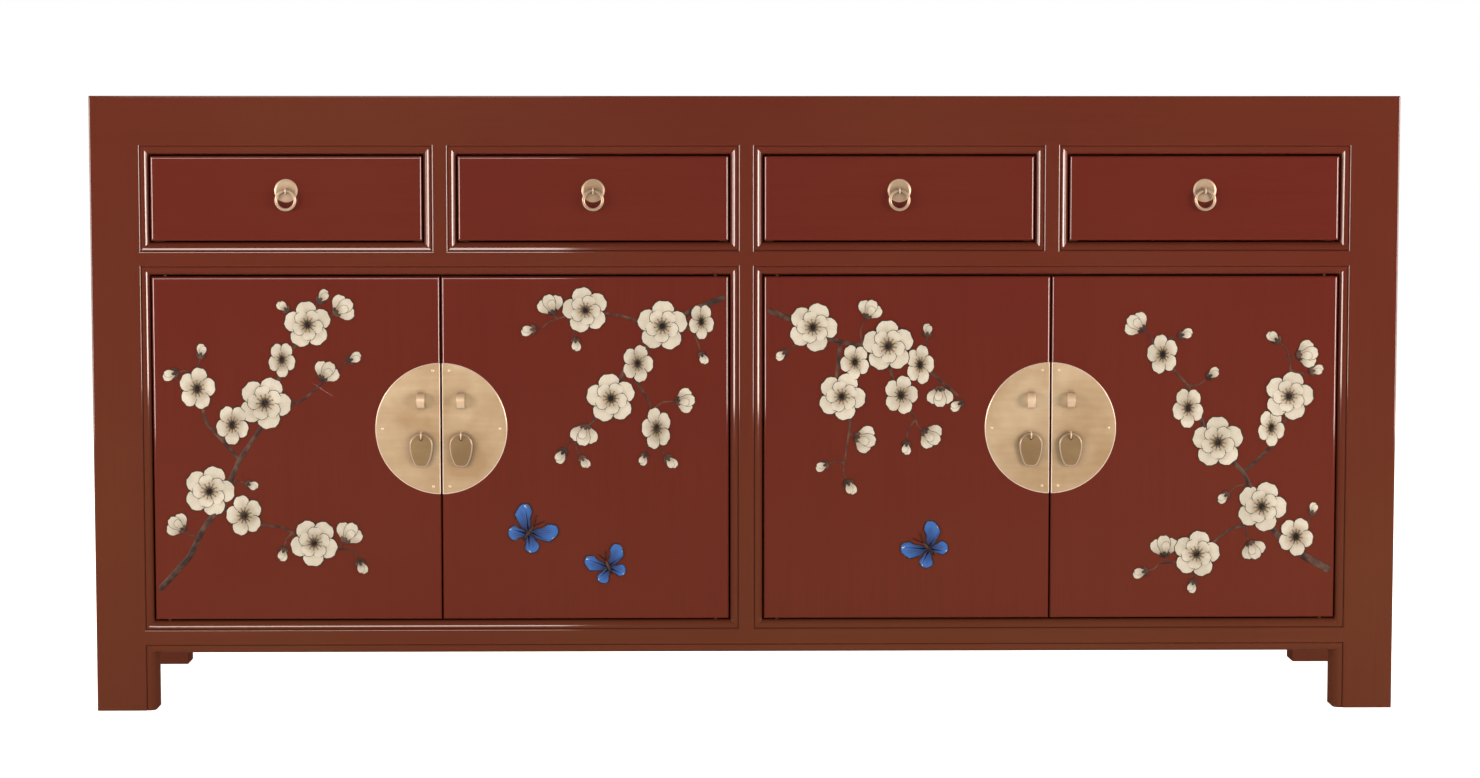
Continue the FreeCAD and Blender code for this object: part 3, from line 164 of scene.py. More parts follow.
# %% Helpers for shader nodes
class Finish:
    """A material with short ways to add and join its nodes."""

    def __init__(self, name):
        self.material = bpy.data.materials.new(name)
        self.material.use_nodes = True
        self.tree = self.material.node_tree
        self.shader = self.tree.nodes["Principled BSDF"]
        coordinates = self.node("ShaderNodeTexCoord")
        self.place = coordinates.outputs["Object"]
        self.lean = coordinates.outputs["Normal"]
        self.map = coordinates.outputs["UV"]

    def node(self, kind, **settings):
        node = self.tree.nodes.new(kind)
        for setting, value in settings.items():
            setattr(node, setting, value)
        return node

    def join(self, output, socket):
        self.tree.links.new(output, socket)

    def set(self, socket, value):
        self.shader.inputs[socket].default_value = value

    def noise(self, scale, stretch=(1, 1, 1), detail=3.0, roughness=0.5, place=None):
        """Noise of so many cells to the metre, and more or fewer along each axis."""
        mapping = self.node("ShaderNodeMapping")
        mapping.inputs["Scale"].default_value = stretch
        self.join(place or self.place, mapping.inputs["Vector"])
        noise = self.node("ShaderNodeTexNoise")
        noise.inputs["Scale"].default_value = scale
        noise.inputs["Detail"].default_value = detail
        noise.inputs["Roughness"].default_value = roughness
        self.join(mapping.outputs["Vector"], noise.inputs["Vector"])
        return noise.outputs["Fac"]

    def spread(self, value, low, high, to_low=0.0, to_high=1.0):
        """Stretch a range of values to another range."""
        stretch = self.node("ShaderNodeMapRange")
        self.join(value, stretch.inputs["Value"])
        for socket, number in zip(("From Min", "From Max", "To Min", "To Max"), (low, high, to_low, to_high)):
            stretch.inputs[socket].default_value = number
        return stretch.outputs["Result"]

    def maths(self, operation, first, second):
        node = self.node("ShaderNodeMath", operation=operation)
        for socket, value in zip(node.inputs, (first, second)):
            if isinstance(value, (int, float)):
                socket.default_value = value
            else:
                self.join(value, socket)
        return node.outputs["Value"]

    def mix(self, amount, first, second, blend="MIX"):
        """Mix two colours, each a colour or the output of a node."""
        node = self.node("ShaderNodeMix", data_type="RGBA", blend_type=blend)
        for socket, value in zip((node.inputs[0], node.inputs[6], node.inputs[7]), (amount, first, second)):
            if isinstance(value, (int, float)):
                socket.default_value = value
            elif isinstance(value, tuple):
                socket.default_value = (*value, 1)
            else:
                self.join(value, socket)
        return node.outputs[2]

    def worn_edges(self, radius, samples=4):
        """How sharply the surface turns within a radius: none on flats, more on edges."""
        bevel = self.node("ShaderNodeBevel", samples=samples)
        bevel.inputs["Radius"].default_value = radius
        surface = self.node("ShaderNodeNewGeometry")
        compare = self.node("ShaderNodeVectorMath", operation="DOT_PRODUCT")
        self.join(bevel.outputs["Normal"], compare.inputs[0])
        self.join(surface.outputs["Normal"], compare.inputs[1])
        return self.maths("SUBTRACT", 1.0, compare.outputs["Value"])

    def rounded(self):
        """0 on flats square to the piece, more where a rounded edge leans between two flats."""
        size = self.node("ShaderNodeVectorMath", operation="ABSOLUTE")
        self.join(self.lean, size.inputs[0])
        sides = self.node("ShaderNodeSeparateXYZ")
        self.join(size.outputs["Vector"], sides.inputs["Vector"])
        largest = self.maths("MAXIMUM", sides.outputs["X"], sides.outputs["Y"])
        return self.maths("SUBTRACT", 1.0, self.maths("MAXIMUM", largest, sides.outputs["Z"]))

    def hollows(self, distance, samples=6):
        """1 on open surfaces, less in gaps and grooves narrower than the distance."""
        shade = self.node("ShaderNodeAmbientOcclusion", samples=samples)
        shade.inputs["Distance"].default_value = distance
        return shade.outputs["AO"]

    def bump(self, height, strength, distance):
        bump = self.node("ShaderNodeBump")
        bump.inputs["Strength"].default_value = strength
        bump.inputs["Distance"].default_value = distance
        self.join(height, bump.inputs["Height"])
        self.join(bump.outputs["Normal"], self.shader.inputs["Normal"])


def along(axis, fine, long):
    """Stretch of a noise that runs along an axis."""
    return tuple(long if name == axis else fine for name in "xyz")


# %% [markdown]
# ## Red lacquer
# The real lacquer is brushed on in many thin coats and rubbed down, so it is deep red with faint streaks
# along each board, a little browner on the frame than on the doors, and thinner on the edges. One flat
# red would look like plastic. Here two reds are mixed by a broad noise, a fine noise stretched along the
# board draws the brush, rounded edges are worn towards the ground coat, the grooves and gaps are darkened
# with painted shade, and the lower half is tinted a touch browner. A clear coat over it gives the sharp
# shine, but what faces up is wiped and leaned on every day, so there most of that coat is rubbed dull,
# and the sides, which nobody polishes, keep only a part of it.

# %% Make the lacquer, for doors and frame and for each direction of the brush
LACQUER_REDS = {
    "door": ((0.081, 0.0122, 0.0073), (0.083, 0.0138, 0.0079)),
    "frame": ((0.077, 0.0154, 0.0078), (0.079, 0.0184, 0.0088)),
}
LACQUER_WORN = (0.30, 0.12, 0.065)
WEAR = 0.35
# brush marks and ripples: cells to the metre across the board and along it
BRUSH_MARKS = (240, 5)
RIPPLES = (160, 5)
COAT_IOR = 1.65
COAT_ROUGHNESS = 0.06
# the tint towards the bottom: what it does to the red, and the heights where it is full and where it ends
LOW_TINT = (1.02, 1.24, 1.13)
LOW_TINT_FULL = 0.25
LOW_TINT_NONE = 0.55
# the coat left on top and on the sides, and how squarely a face looks that way where it thins out
TOP_COAT = 0.008
SIDE_COAT = 0.2
FACING = (0.7, 0.95)


def red_lacquer(board, axis):
    """Lacquer for a kind of board, brushed along one axis."""
    finish = Finish(f"red_lacquer_{board}_{axis}")
    patches = finish.spread(finish.noise(3.2, detail=4), 0.35, 0.65)
    colour = finish.mix(patches, *LACQUER_REDS[board])
    brush = finish.noise(1.0, along(axis, *BRUSH_MARKS), detail=4, roughness=0.6)
    streaks = finish.mix(finish.spread(brush, 0.3, 0.7), (0.965, 0.965, 0.965), (1.035, 1.035, 1.035))
    colour = finish.mix(1.0, colour, streaks, "MULTIPLY")
    place = finish.node("ShaderNodeSeparateXYZ")
    finish.join(finish.place, place.inputs["Vector"])
    # the colour is tinted a touch browner towards the bottom
    low_tint = finish.spread(place.outputs["Z"], LOW_TINT_FULL, LOW_TINT_NONE, 1.0, 0.0)
    colour = finish.mix(low_tint, colour, LOW_TINT, "MULTIPLY")
    turning = finish.spread(finish.worn_edges(1.8 * MM), 0.02, 0.22)
    turning = finish.maths("MULTIPLY", turning, finish.spread(finish.rounded(), 0.02, 0.2))
    chips = finish.spread(finish.noise(55, detail=5), 0.36, 0.62)
    open_part = finish.hollows(4 * MM)
    wear = finish.maths("MULTIPLY", turning, chips)
    wear = finish.maths("MULTIPLY", wear, finish.spread(open_part, 0.4, 0.9))
    colour = finish.mix(finish.maths("MULTIPLY", wear, WEAR), colour, LACQUER_WORN)
    # painted shade: the colour is darker in grooves, gaps and narrow recesses
    groove_shade = finish.spread(open_part, 0.1, 0.8, 0.45, 1.0)
    shaded = finish.node("ShaderNodeVectorMath", operation="SCALE")
    finish.join(colour, shaded.inputs[0])
    finish.join(groove_shade, shaded.inputs["Scale"])
    finish.join(shaded.outputs["Vector"], finish.shader.inputs["Base Color"])
    gloss = finish.spread(finish.noise(9, detail=3), 0.3, 0.7, 0.30, 0.38)
    gloss = finish.maths("ADD", gloss, finish.maths("MULTIPLY", wear, 0.12))
    finish.join(gloss, finish.shader.inputs["Roughness"])
    finish.set("Specular IOR Level", 0.0)
    facing = finish.node("ShaderNodeSeparateXYZ")
    finish.join(finish.lean, facing.inputs["Vector"])
    sideways = finish.maths("ABSOLUTE", facing.outputs["X"], 0.0)
    top_coat = finish.spread(facing.outputs["Z"], *FACING, 1.0, TOP_COAT)
    side_coat = finish.spread(sideways, *FACING, 1.0, SIDE_COAT)
    coat = finish.maths("MULTIPLY", top_coat, side_coat)
    finish.join(coat, finish.shader.inputs["Coat Weight"])
    finish.set("Coat IOR", COAT_IOR)
    finish.set("Coat Roughness", COAT_ROUGHNESS)
    ripple = finish.noise(1.0, along(axis, *RIPPLES), detail=0)
    finish.bump(ripple, 0.05, 0.4 * MM)
    return finish.material


lacquers = {(board, axis): red_lacquer(board, axis) for board in LACQUER_REDS for axis in "xyz"}
print(len(lacquers), "kinds of red lacquer")

# %% [markdown]
# ## Plain wood inside
# Behind the doors and at the back the boards are only oiled. Cut wood shows long streaks of early and
# late growth, fine pores along the grain, and a tone of its own on every plank. Year rings can be made
# with a wave texture, but on a wide panel they turn into a map of hills, so here noises are stretched
# along the grain instead. Wide panels are glued up from planks: each has its own tone and its own stretch
# of grain, and a thin dark joint lies between two of them.

# %% Make the oiled wood, for each direction of the grain and of the planks
WOOD_PALE = (0.36, 0.215, 0.110)
WOOD_DARK = (0.205, 0.104, 0.046)
WOOD_PORE = (0.10, 0.045, 0.02)
PLANK_WIDTH = 118 * MM
PLANK_JOINT = 0.7 * MM
GRAIN_JUMP = 7
# streaks, lines and pores: cells to the metre across the grain and along it
STREAKS = (42, 0.8)
LATE_LINES = (170, 1.3)
PORES = (900, 16)


def inner_wood(axis, across):
    """Oiled wood with its grain along one axis and, on wide panels, planks side by side across another."""
    finish = Finish(f"inner_wood_{axis}{across}")
    tone = finish.noise(2.2)
    place = finish.place
    if across:
        sides = finish.node("ShaderNodeSeparateXYZ")
        finish.join(place, sides.inputs["Vector"])
        planks = finish.maths("DIVIDE", sides.outputs[across.upper()], PLANK_WIDTH)
        lot = finish.node("ShaderNodeTexWhiteNoise", noise_dimensions="1D")
        finish.join(finish.maths("FLOOR", planks, 0), lot.inputs["W"])
        jump = finish.node("ShaderNodeVectorMath", operation="MULTIPLY_ADD")
        finish.join(lot.outputs["Color"], jump.inputs[0])
        jump.inputs[1].default_value = (GRAIN_JUMP, GRAIN_JUMP, GRAIN_JUMP)
        finish.join(place, jump.inputs[2])
        place = jump.outputs["Vector"]
        tone = lot.outputs["Value"]
    growth = finish.noise(1.0, along(axis, *STREAKS), detail=6, roughness=0.6, place=place)
    lines = finish.noise(1.0, along(axis, *LATE_LINES), detail=2, place=place)
    pores = finish.noise(1.0, along(axis, *PORES), detail=3, roughness=0.7, place=place)
    colour = finish.mix(finish.spread(growth, 0.3, 0.72), WOOD_PALE, WOOD_DARK)
    colour = finish.mix(finish.spread(lines, 0.52, 0.72, 0.0, 0.55), colour, WOOD_DARK)
    toned = finish.mix(finish.spread(tone, 0.2, 0.8), (0.86, 0.84, 0.82), (1.12, 1.12, 1.12))
    colour = finish.mix(1.0, colour, toned, "MULTIPLY")
    colour = finish.mix(finish.spread(pores, 0.58, 0.75, 0.0, 0.6), colour, WOOD_PORE)
    if across:
        joint = finish.spread(finish.maths("PINGPONG", planks, 0.5), 0.0, PLANK_JOINT / PLANK_WIDTH, 0.8, 0.0)
        colour = finish.mix(joint, colour, WOOD_PORE)
    finish.join(colour, finish.shader.inputs["Base Color"])
    finish.join(finish.spread(pores, 0.3, 0.7, 0.48, 0.66), finish.shader.inputs["Roughness"])
    finish.set("Specular IOR Level", 0.3)
    finish.bump(pores, 0.15, 0.3 * MM)
    return finish.material


PLANKED = {
    "back_panel": "z",
    "bottom_board": "y",
    "left_shelf": "y",
    "right_shelf": "y",
    "centre_partition": "y",
}
WOOD_KINDS = [("x", ""), ("y", ""), ("z", ""), ("x", "y"), ("x", "z"), ("z", "y")]
woods = {kind: inner_wood(*kind) for kind in WOOD_KINDS}
print(len(woods), "kinds of oiled wood")

# %% [markdown]
# ## Brushed brass
# The plates and rings are rolled and drawn brass, brushed level and left satin. Brushing leaves hair-fine
# scratches, so the glint is broad and soft, and about half of the light is scattered as by paint. The
# bevelled rims that hands touch, and the other curved faces, are painted paler, partly as polish and partly
# as a painted highlight. The hollows, and the plate round the loops and drops, are darkened with painted
# shadow. The drops are older and browner than their plates, and the pins in the door gaps are painted
# nearly black and dull, as painted shade in the gaps. A mirror-bright gold would be the wrong metal, so the
# colours are pale and the roughness high and uneven.

# %% Make the bright, the aged and the dark brass
BRASS_POLISH_AND_HIGHLIGHT = (0.80, 0.66, 0.54)
BRASS_SHADOW = (0.11, 0.066, 0.032)
# scratches and bands of the brush: cells to the metre across it and along it
SCRATCHES = (2600, 40)
BANDS = (130, 14)
BRASSES = {
    # the paler and the browner tone, how much of the rim is painted paler, as polish and as a painted
    # highlight, how metallic the surface is, and how strongly the rest of it shines
    "bright": ((0.455, 0.360, 0.225), (0.33, 0.226, 0.118), 0.95, 0.4, 0.5),
    "rosette": ((0.350, 0.262, 0.169), (0.271, 0.190, 0.111), 0.5, 0.4, 0.5),
    "ring": ((0.40, 0.305, 0.195), (0.30, 0.215, 0.125), 0.4, 0.6, 0.5),
    "strap": ((0.60, 0.47, 0.32), (0.47, 0.34, 0.20), 0.2, 0.4, 0.5),
    "aged": ((0.24, 0.166, 0.080), (0.18, 0.118, 0.052), 0.35, 0.4, 0.5),
    # the pins in the door gaps: painted nearly black and dull, as painted shade in the gaps
    "dark": ((0.03, 0.018, 0.010), (0.02, 0.012, 0.007), 0.0, 0.0, 0.0),
}


def brushed_brass(kind):
    """Satin brass, brushed from left to right."""
    finish = Finish(f"{kind}_brass")
    pale, brown, rim, metal, shine = BRASSES[kind]
    scratches = finish.noise(1.0, along("x", *SCRATCHES), detail=2, roughness=0.6)
    bands = finish.noise(1.0, along("x", *BANDS), detail=3)
    clouds = finish.maths("ADD", finish.noise(13, detail=4), finish.spread(bands, 0.3, 0.7, -0.04, 0.04))
    colour = finish.mix(finish.spread(clouds, 0.36, 0.66), pale, brown)
    open_part = finish.hollows(8 * MM)
    # painted shadow: darker in hollows and on the plate round the loops and drops
    colour = finish.mix(finish.spread(open_part, 0.2, 0.95, 0.75, 0.0), colour, BRASS_SHADOW)
    # rims and curved faces painted paler: partly polish, partly a painted highlight
    polish_and_highlight = finish.spread(finish.rounded(), 0.02, 0.16, 0.0, rim)
    colour = finish.mix(polish_and_highlight, colour, BRASS_POLISH_AND_HIGHLIGHT)
    finish.join(colour, finish.shader.inputs["Base Color"])
    gloss = finish.spread(scratches, 0.3, 0.7, 0.36, 0.50)
    gloss = finish.maths("SUBTRACT", gloss, finish.maths("MULTIPLY", polish_and_highlight, 0.14))
    finish.join(gloss, finish.shader.inputs["Roughness"])
    finish.set("Metallic", metal)
    finish.set("Specular IOR Level", shine)
    finish.bump(scratches, 0.10, 0.05 * MM)
    return finish.material


brasses = {kind: brushed_brass(kind) for kind in BRASSES}
print("brass:", ", ".join(brasses))

# %% [markdown]
# ## Finish every CAD node
# The record says which nodes are lacquered, oiled or brass. The brush and the grain follow each board's
# longest side. A few nodes hold several boards that lie across the node's own length, or a panel of
# upright boards, and those are named here.

# %% Give each node its finish
ACROSS_THE_NODE = {
    "drawer_dividers": "z",
    "top_battens": "y",
    "drawer_runners": "y",
    "left_side_panel": "z",
    "right_side_panel": "z",
    "centre_partition": "z",
    **{f"drawer_{number}_box": "y" for number in (1, 2, 3, 4)},
}
BRASS_KINDS = {"drop": "aged", "loops": "strap", "pins": "dark", "pull_plate": "rosette", "ring": "ring"}
slot_of = {row["node"]: row["material_slot"] for row in frame["record"]["subparts"]}


def longest_axis(node):
    """The axis that a node's boards run along."""
    low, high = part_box(node)
    sides = {axis: high[count] - low[count] for count, axis in enumerate("xyz")}
    return ACROSS_THE_NODE.get(node) or max(sides, key=sides.get)


def finish_of(node):
    """The finish of a CAD node by its slot in the record, and by what it is."""
    axis = longest_axis(node)
    if slot_of[node] == "brass":
        kinds = [kind for ending, kind in BRASS_KINDS.items() if node.endswith("_" + ending)]
        return brasses[kinds[0] if kinds else "bright"]
    if slot_of[node] == "inner_wood":
        return woods[axis, PLANKED.get(node, "")]
    return lacquers["door" if node.endswith(("_leaf", "_front")) else "frame", axis]


for node, piece in frame["nodes"].items():
    piece.data.materials.clear()
    piece.data.materials.append(finish_of(node))
print("finished", len(slot_of), "nodes")

# %% [markdown]
# ## Paints for the doors
# The doors carry blossom sprays in thick matt paint: cream petals that darken towards the heart of the
# flower, with fine veins and an ink line round each petal, ochre stamens, brown branches and small blue
# butterflies. The petals read their own map, from foot to tip and across, so that the shading and the
# veins follow every petal however it is turned. A picture could do that too, but procedural paint stays
# sharp at any distance.

# %% Mix the paints
PETAL_TIP = (0.385, 0.368, 0.300)
PETAL_FOOT = (0.19, 0.155, 0.105)
INK = (0.012, 0.008, 0.006)
INK_THIN = (0.11, 0.08, 0.052)
WING_FOOT = (0.005, 0.012, 0.07)
WING_TIP = (0.022, 0.088, 0.28)
WING_SPOT = (0.42, 0.44, 0.42)


def petal_paint():
    """Cream at the tip, darker at the foot, with fine veins."""
    finish = Finish("petal_cream")
    parts = finish.node("ShaderNodeSeparateXYZ")
    finish.join(finish.map, parts.inputs["Vector"])
    height = finish.maths("ADD", parts.outputs["Y"], finish.spread(finish.noise(70), 0.3, 0.7, -0.12, 0.12))
    colour = finish.mix(finish.spread(height, 0.12, 0.72), PETAL_FOOT, PETAL_TIP)
    veins = finish.noise(1.0, (24, 1.6, 1), detail=2, place=finish.map)
    vein_depth = finish.spread(veins, 0.56, 0.68, 0.0, 0.5)
    vein_depth = finish.maths("MULTIPLY", vein_depth, finish.spread(height, 0.3, 1.0, 1.0, 0.2))
    colour = finish.mix(vein_depth, colour, PETAL_FOOT)
    clouds = finish.spread(finish.noise(25, detail=4), 0.3, 0.7)
    wash = finish.mix(clouds, (0.86, 0.85, 0.83), (1.1, 1.1, 1.1))
    finish.join(finish.mix(1.0, colour, wash, "MULTIPLY"), finish.shader.inputs["Base Color"])
    finish.join(finish.spread(veins, 0.3, 0.7, 0.5, 0.66), finish.shader.inputs["Roughness"])
    finish.set("Specular IOR Level", 0.25)
    finish.bump(veins, 0.2, 0.2 * MM)
    return finish.material


def brushed_paint(name, dark, light, scale, low, high):
    """A paint that is dark where the brush was full and lighter where it ran dry."""
    finish = Finish(name)
    strokes = finish.noise(scale, detail=4, roughness=0.6)
    colour = finish.mix(finish.spread(strokes, low, high), dark, light)
    finish.join(colour, finish.shader.inputs["Base Color"])
    finish.join(finish.spread(strokes, 0.3, 0.7, 0.42, 0.62), finish.shader.inputs["Roughness"])
    finish.set("Specular IOR Level", 0.25)
    finish.bump(strokes, 0.2, 0.2 * MM)
    return finish.material


def wing_paint():
    """Deep blue at the body, bright blue outside, with pale spots along the margin."""
    finish = Finish("wing_blue")
    parts = finish.node("ShaderNodeSeparateXYZ")
    finish.join(finish.map, parts.inputs["Vector"])
    outward = finish.spread(parts.outputs["Y"], 0.15, 0.75)
    colour = finish.mix(outward, WING_FOOT, WING_TIP)
    ribs = finish.noise(1.0, (14, 1.2, 1), detail=2, place=finish.map)
    colour = finish.mix(finish.spread(ribs, 0.54, 0.66, 0.0, 0.7), colour, INK)
    spots = finish.node("ShaderNodeTexVoronoi")
    spots.inputs["Scale"].default_value = 6.0
    finish.join(finish.map, spots.inputs["Vector"])
    spotted = finish.spread(spots.outputs["Distance"], 0.2, 0.28, 1.0, 0.0)
    spotted = finish.maths("MULTIPLY", spotted, finish.spread(parts.outputs["Y"], 0.68, 0.76))
    colour = finish.mix(spotted, colour, WING_SPOT)
    finish.join(colour, finish.shader.inputs["Base Color"])
    finish.join(finish.spread(ribs, 0.3, 0.7, 0.4, 0.6), finish.shader.inputs["Roughness"])
    finish.set("Specular IOR Level", 0.25)
    finish.bump(ribs, 0.2, 0.2 * MM)
    return finish.material


paints = {
    "ink": brushed_paint("ink_line", INK, INK_THIN, 130, 0.55, 0.8),
    "cream": petal_paint(),
    "ochre": brushed_paint("stamen_ochre", (0.16, 0.085, 0.025), (0.34, 0.22, 0.075), 300, 0.35, 0.65),
    "brown": brushed_paint("branch_brown", (0.020, 0.009, 0.006), (0.095, 0.046, 0.027), 85, 0.42, 0.72),
    "blue": wing_paint(),
}
PAINT_ORDER = list(paints)
print("paints:", ", ".join(paints))

# %% [markdown]
# ## Drawing on the door's face
# Each painted shape starts as a flat disc on a drawing plane, seen from the front with x to the right and
# z up. It is drawn in at the foot, pulled out to the thickness of the paint, and inset twice: once for
# the ink line, and once for the raised middle. Real paint has no thickness to speak of, but half a
# millimetre catches the light.

# %% Helpers for drawing
FACING_FRONT = (math.pi / 2, 0, 0)
MIDDLE = (0, 0, 0)
PAINT_BACK = 0.3 * MM
SMOOTH_BELOW = math.radians(40)


def pick(piece, test):
    """In edit mode, select the vertices whose place passes a test."""
    bpy.ops.mesh.select_mode(type="VERT")
    bpy.ops.mesh.select_all(action="DESELECT")
    mesh = bmesh.from_edit_mesh(piece.data)
    for vertex in mesh.verts:
        vertex.select_set(test(vertex.co))
    mesh.select_flush_mode()
    bmesh.update_edit_mesh(piece.data)


def flat_shape(name, sides, width, length):
    """A flat disc with its foot at the middle and its tip up, open for editing."""
    bpy.ops.object.select_all(action="DESELECT")
    bpy.ops.mesh.primitive_circle_add(vertices=sides, radius=0.5, fill_type="NGON", rotation=FACING_FRONT)
    piece = bpy.context.object
    piece.name = name
    piece.location.z = length / 2
    piece.scale = (width, length, 1)
    bpy.ops.object.transform_apply()
    for paint in paints.values():
        piece.data.materials.append(paint)
    bpy.ops.object.mode_set(mode="EDIT")
    return piece


def draw_in(piece, below, factor):
    """Make the part below a height narrower."""
    pick(piece, lambda place: place.z < below)
    bpy.ops.transform.resize(value=(factor, 1, 1), center_override=MIDDLE)


def fill_with(piece, paint):
    """In edit mode, paint the selected faces."""
    piece.active_material_index = PAINT_ORDER.index(paint)
    bpy.ops.object.material_slot_assign()


def raise_paint(piece, paint, front, line, slope, rise):
    """Thickness, an ink line round the edge and a softly raised middle, then a map from foot to tip."""
    bpy.ops.mesh.select_all(action="SELECT")
    bpy.ops.transform.translate(value=(0, PAINT_BACK, 0))
    bpy.ops.mesh.extrude_region_move(TRANSFORM_OT_translate={"value": (0, -PAINT_BACK - front, 0)})
    bpy.ops.mesh.select_all(action="SELECT")
    bpy.ops.mesh.normals_make_consistent(inside=False)
    pick(piece, lambda place: place.y < 0)
    bpy.ops.mesh.inset(thickness=line)
    fill_with(piece, paint)
    bpy.ops.mesh.inset(thickness=slope, depth=rise)
    bpy.ops.object.mode_set(mode="OBJECT")
    bpy.ops.object.shade_smooth_by_angle(angle=SMOOTH_BELOW)
    places = [vertex.co for vertex in piece.data.vertices]
    left, right = min(place.x for place in places), max(place.x for place in places)
    foot, tip = min(place.z for place in places), max(place.z for place in places)
    paint_map = piece.data.uv_layers.active.data
    for loop in piece.data.loops:
        place = places[loop.vertex_index]
        paint_map[loop.index].uv = ((place.x - left) / (right - left), (place.z - foot) / (tip - foot))
    return piece


def placed(source, x=0.0, z=0.0, forward=0.0, turn=0.0, wide=1.0, tall=1.0):
    """A copy with its own mesh, sized, turned clockwise on the door's face and moved."""
    copy = source.copy()
    copy.data = source.data.copy()
    bpy.context.collection.objects.link(copy)
    turned = Matrix.Rotation(turn, 4, "Y") @ Matrix.Diagonal((wide, 1, tall, 1))
    copy.data.transform(Matrix.Translation((x, -forward, z)) @ turned)
    return copy


def joined(name, pieces):
    """Join pieces into the first of them, under a new name."""
    bpy.ops.object.select_all(action="DESELECT")
    for piece in pieces:
        piece.select_set(True)
    bpy.context.view_layer.objects.active = pieces[0]
    bpy.ops.object.join()
    pieces[0].name = name
    return pieces[0]


print("drawing plane: x right, z up, seen from -y")

# %% [markdown]
# ## A petal
# A blossom petal is nearly round, narrow at the foot, with a small dip at the tip. Sixteen sides are
# enough for a shape that is repeated a few hundred times.

# %% Draw a petal
PETAL_LENGTH = 34 * MM
PETAL_WIDTH = 31.5 * MM
PETAL_SIDES = 16
PETAL_DIP = 1.7 * MM

petal = flat_shape("petal", PETAL_SIDES, PETAL_WIDTH, PETAL_LENGTH)
for below, factor in [(0.6, 0.92), (0.35, 0.8), (0.12, 0.75)]:
    draw_in(petal, below * PETAL_LENGTH, factor)
pick(petal, lambda place: place.z > 0.99 * PETAL_LENGTH)
bpy.ops.transform.translate(value=(0, 0, -PETAL_DIP))
raise_paint(petal, "cream", front=0.5 * MM, line=0.95 * MM, slope=4 * MM, rise=0.3 * MM)
print("petal with", len(petal.data.polygons), "faces")

# %% [markdown]
# ## Stamens
# From the heart of each flower rise fine threads with an ochre head. A thread is a thin bar, its head a
# small button, and the spin operator sets copies of both round the middle.

# %% Draw a stamen and set it round the heart
THREAD_LENGTH = 10 * MM
HEAD_WIDTH = 2.4 * MM
STAMEN_COUNT = 11


def spin_round(piece, count):
    """Copies of the whole piece, evenly round the middle of the drawing."""
    bpy.ops.object.select_all(action="DESELECT")
    piece.select_set(True)
    bpy.context.view_layer.objects.active = piece
    bpy.ops.object.mode_set(mode="EDIT")
    bpy.ops.mesh.select_all(action="SELECT")
    bpy.ops.mesh.spin(
        steps=count - 1, dupli=True, angle=2 * math.pi * (count - 1) / count, use_auto_merge=False,
        center=MIDDLE, axis=(0, 1, 0),
    )
    bpy.ops.object.mode_set(mode="OBJECT")
    return piece


thread = flat_shape("thread", 6, 0.9 * MM, THREAD_LENGTH)
raise_paint(thread, "ink", front=1.5 * MM, line=0.1 * MM, slope=0.1 * MM, rise=0.1 * MM)
head = flat_shape("head", 6, HEAD_WIDTH, HEAD_WIDTH)
raise_paint(head, "ochre", front=1.6 * MM, line=0.15 * MM, slope=0.4 * MM, rise=0.3 * MM)
long_stamen = joined("long_stamen", [placed(thread), placed(head, z=THREAD_LENGTH - HEAD_WIDTH / 2)])
short_stamen = placed(long_stamen, turn=math.pi / STAMEN_COUNT, wide=1.0, tall=0.62)
stamens = joined("stamens", [spin_round(long_stamen, STAMEN_COUNT), spin_round(short_stamen, STAMEN_COUNT)])
print("stamens with", len(stamens.data.polygons), "faces")

# %% [markdown]
# ## Flowers and buds
# A full flower has five outer petals and five smaller ones set between them. Every petal leans a little,
# so that each lies over the next one all the way round, as real petals do. A single flower has only the
# outer five. A half-open flower is four petals in a cup of dark sepals, and a bud is two petals, closed,
# in the same cup.

# %% Build the flowers from the petal
PETAL_LEAN = math.radians(0.8)
FIFTH = 2 * math.pi / 5


def petal_ring(size, forward, turn):
    """Five leaning petals round the middle."""
    ring = placed(petal, wide=size, tall=size, forward=forward)
    ring.data.transform(Matrix.Rotation(PETAL_LEAN, 4, "Z"))
    spin_round(ring, 5)
    ring.data.transform(Matrix.Rotation(turn, 4, "Y"))
    return ring


full_flower = joined("full_flower", [
    petal_ring(1.0, 0.0, 0.0), petal_ring(0.66, 0.45 * MM, FIFTH / 2), placed(stamens, forward=0.2 * MM),
])
single_flower = joined("single_flower", [petal_ring(0.95, 0.0, 0.0), placed(stamens, wide=1.15, tall=1.15)])

sepal = flat_shape("sepal", 8, 6 * MM, 11 * MM)
draw_in(sepal, 4 * MM, 0.7)
raise_paint(sepal, "brown", front=1.1 * MM, line=0.4 * MM, slope=0.8 * MM, rise=0.3 * MM)


def cup(width):
    """Three dark sepals that hold a flower or a bud at its foot."""
    return [
        placed(sepal, z=-3.5 * MM, turn=turn, wide=width, forward=forward)
        for turn, forward in [(-0.75, 0.0), (0.75, 0.0), (0.0, 0.3 * MM)]
    ]


half_flower = joined("half_flower", [
    placed(petal, turn=-0.62, wide=0.72, tall=0.86),
    placed(petal, turn=0.62, wide=0.72, tall=0.86),
    placed(petal, wide=0.7, tall=0.92, forward=0.4 * MM),
    placed(petal, z=1 * MM, turn=0.2, wide=0.42, tall=0.6, forward=0.75 * MM),
    *cup(1.0),
])
bud = joined("bud", [
    placed(petal, turn=-0.13, wide=0.46, tall=0.62),
    placed(petal, turn=0.17, wide=0.36, tall=0.54, forward=0.35 * MM),
    *cup(0.8),
])
FLOWERS = {"full": full_flower, "single": single_flower, "half": half_flower, "bud": bud}
for name, flower in FLOWERS.items():
    print(name, "with", len(flower.data.polygons), "faces")

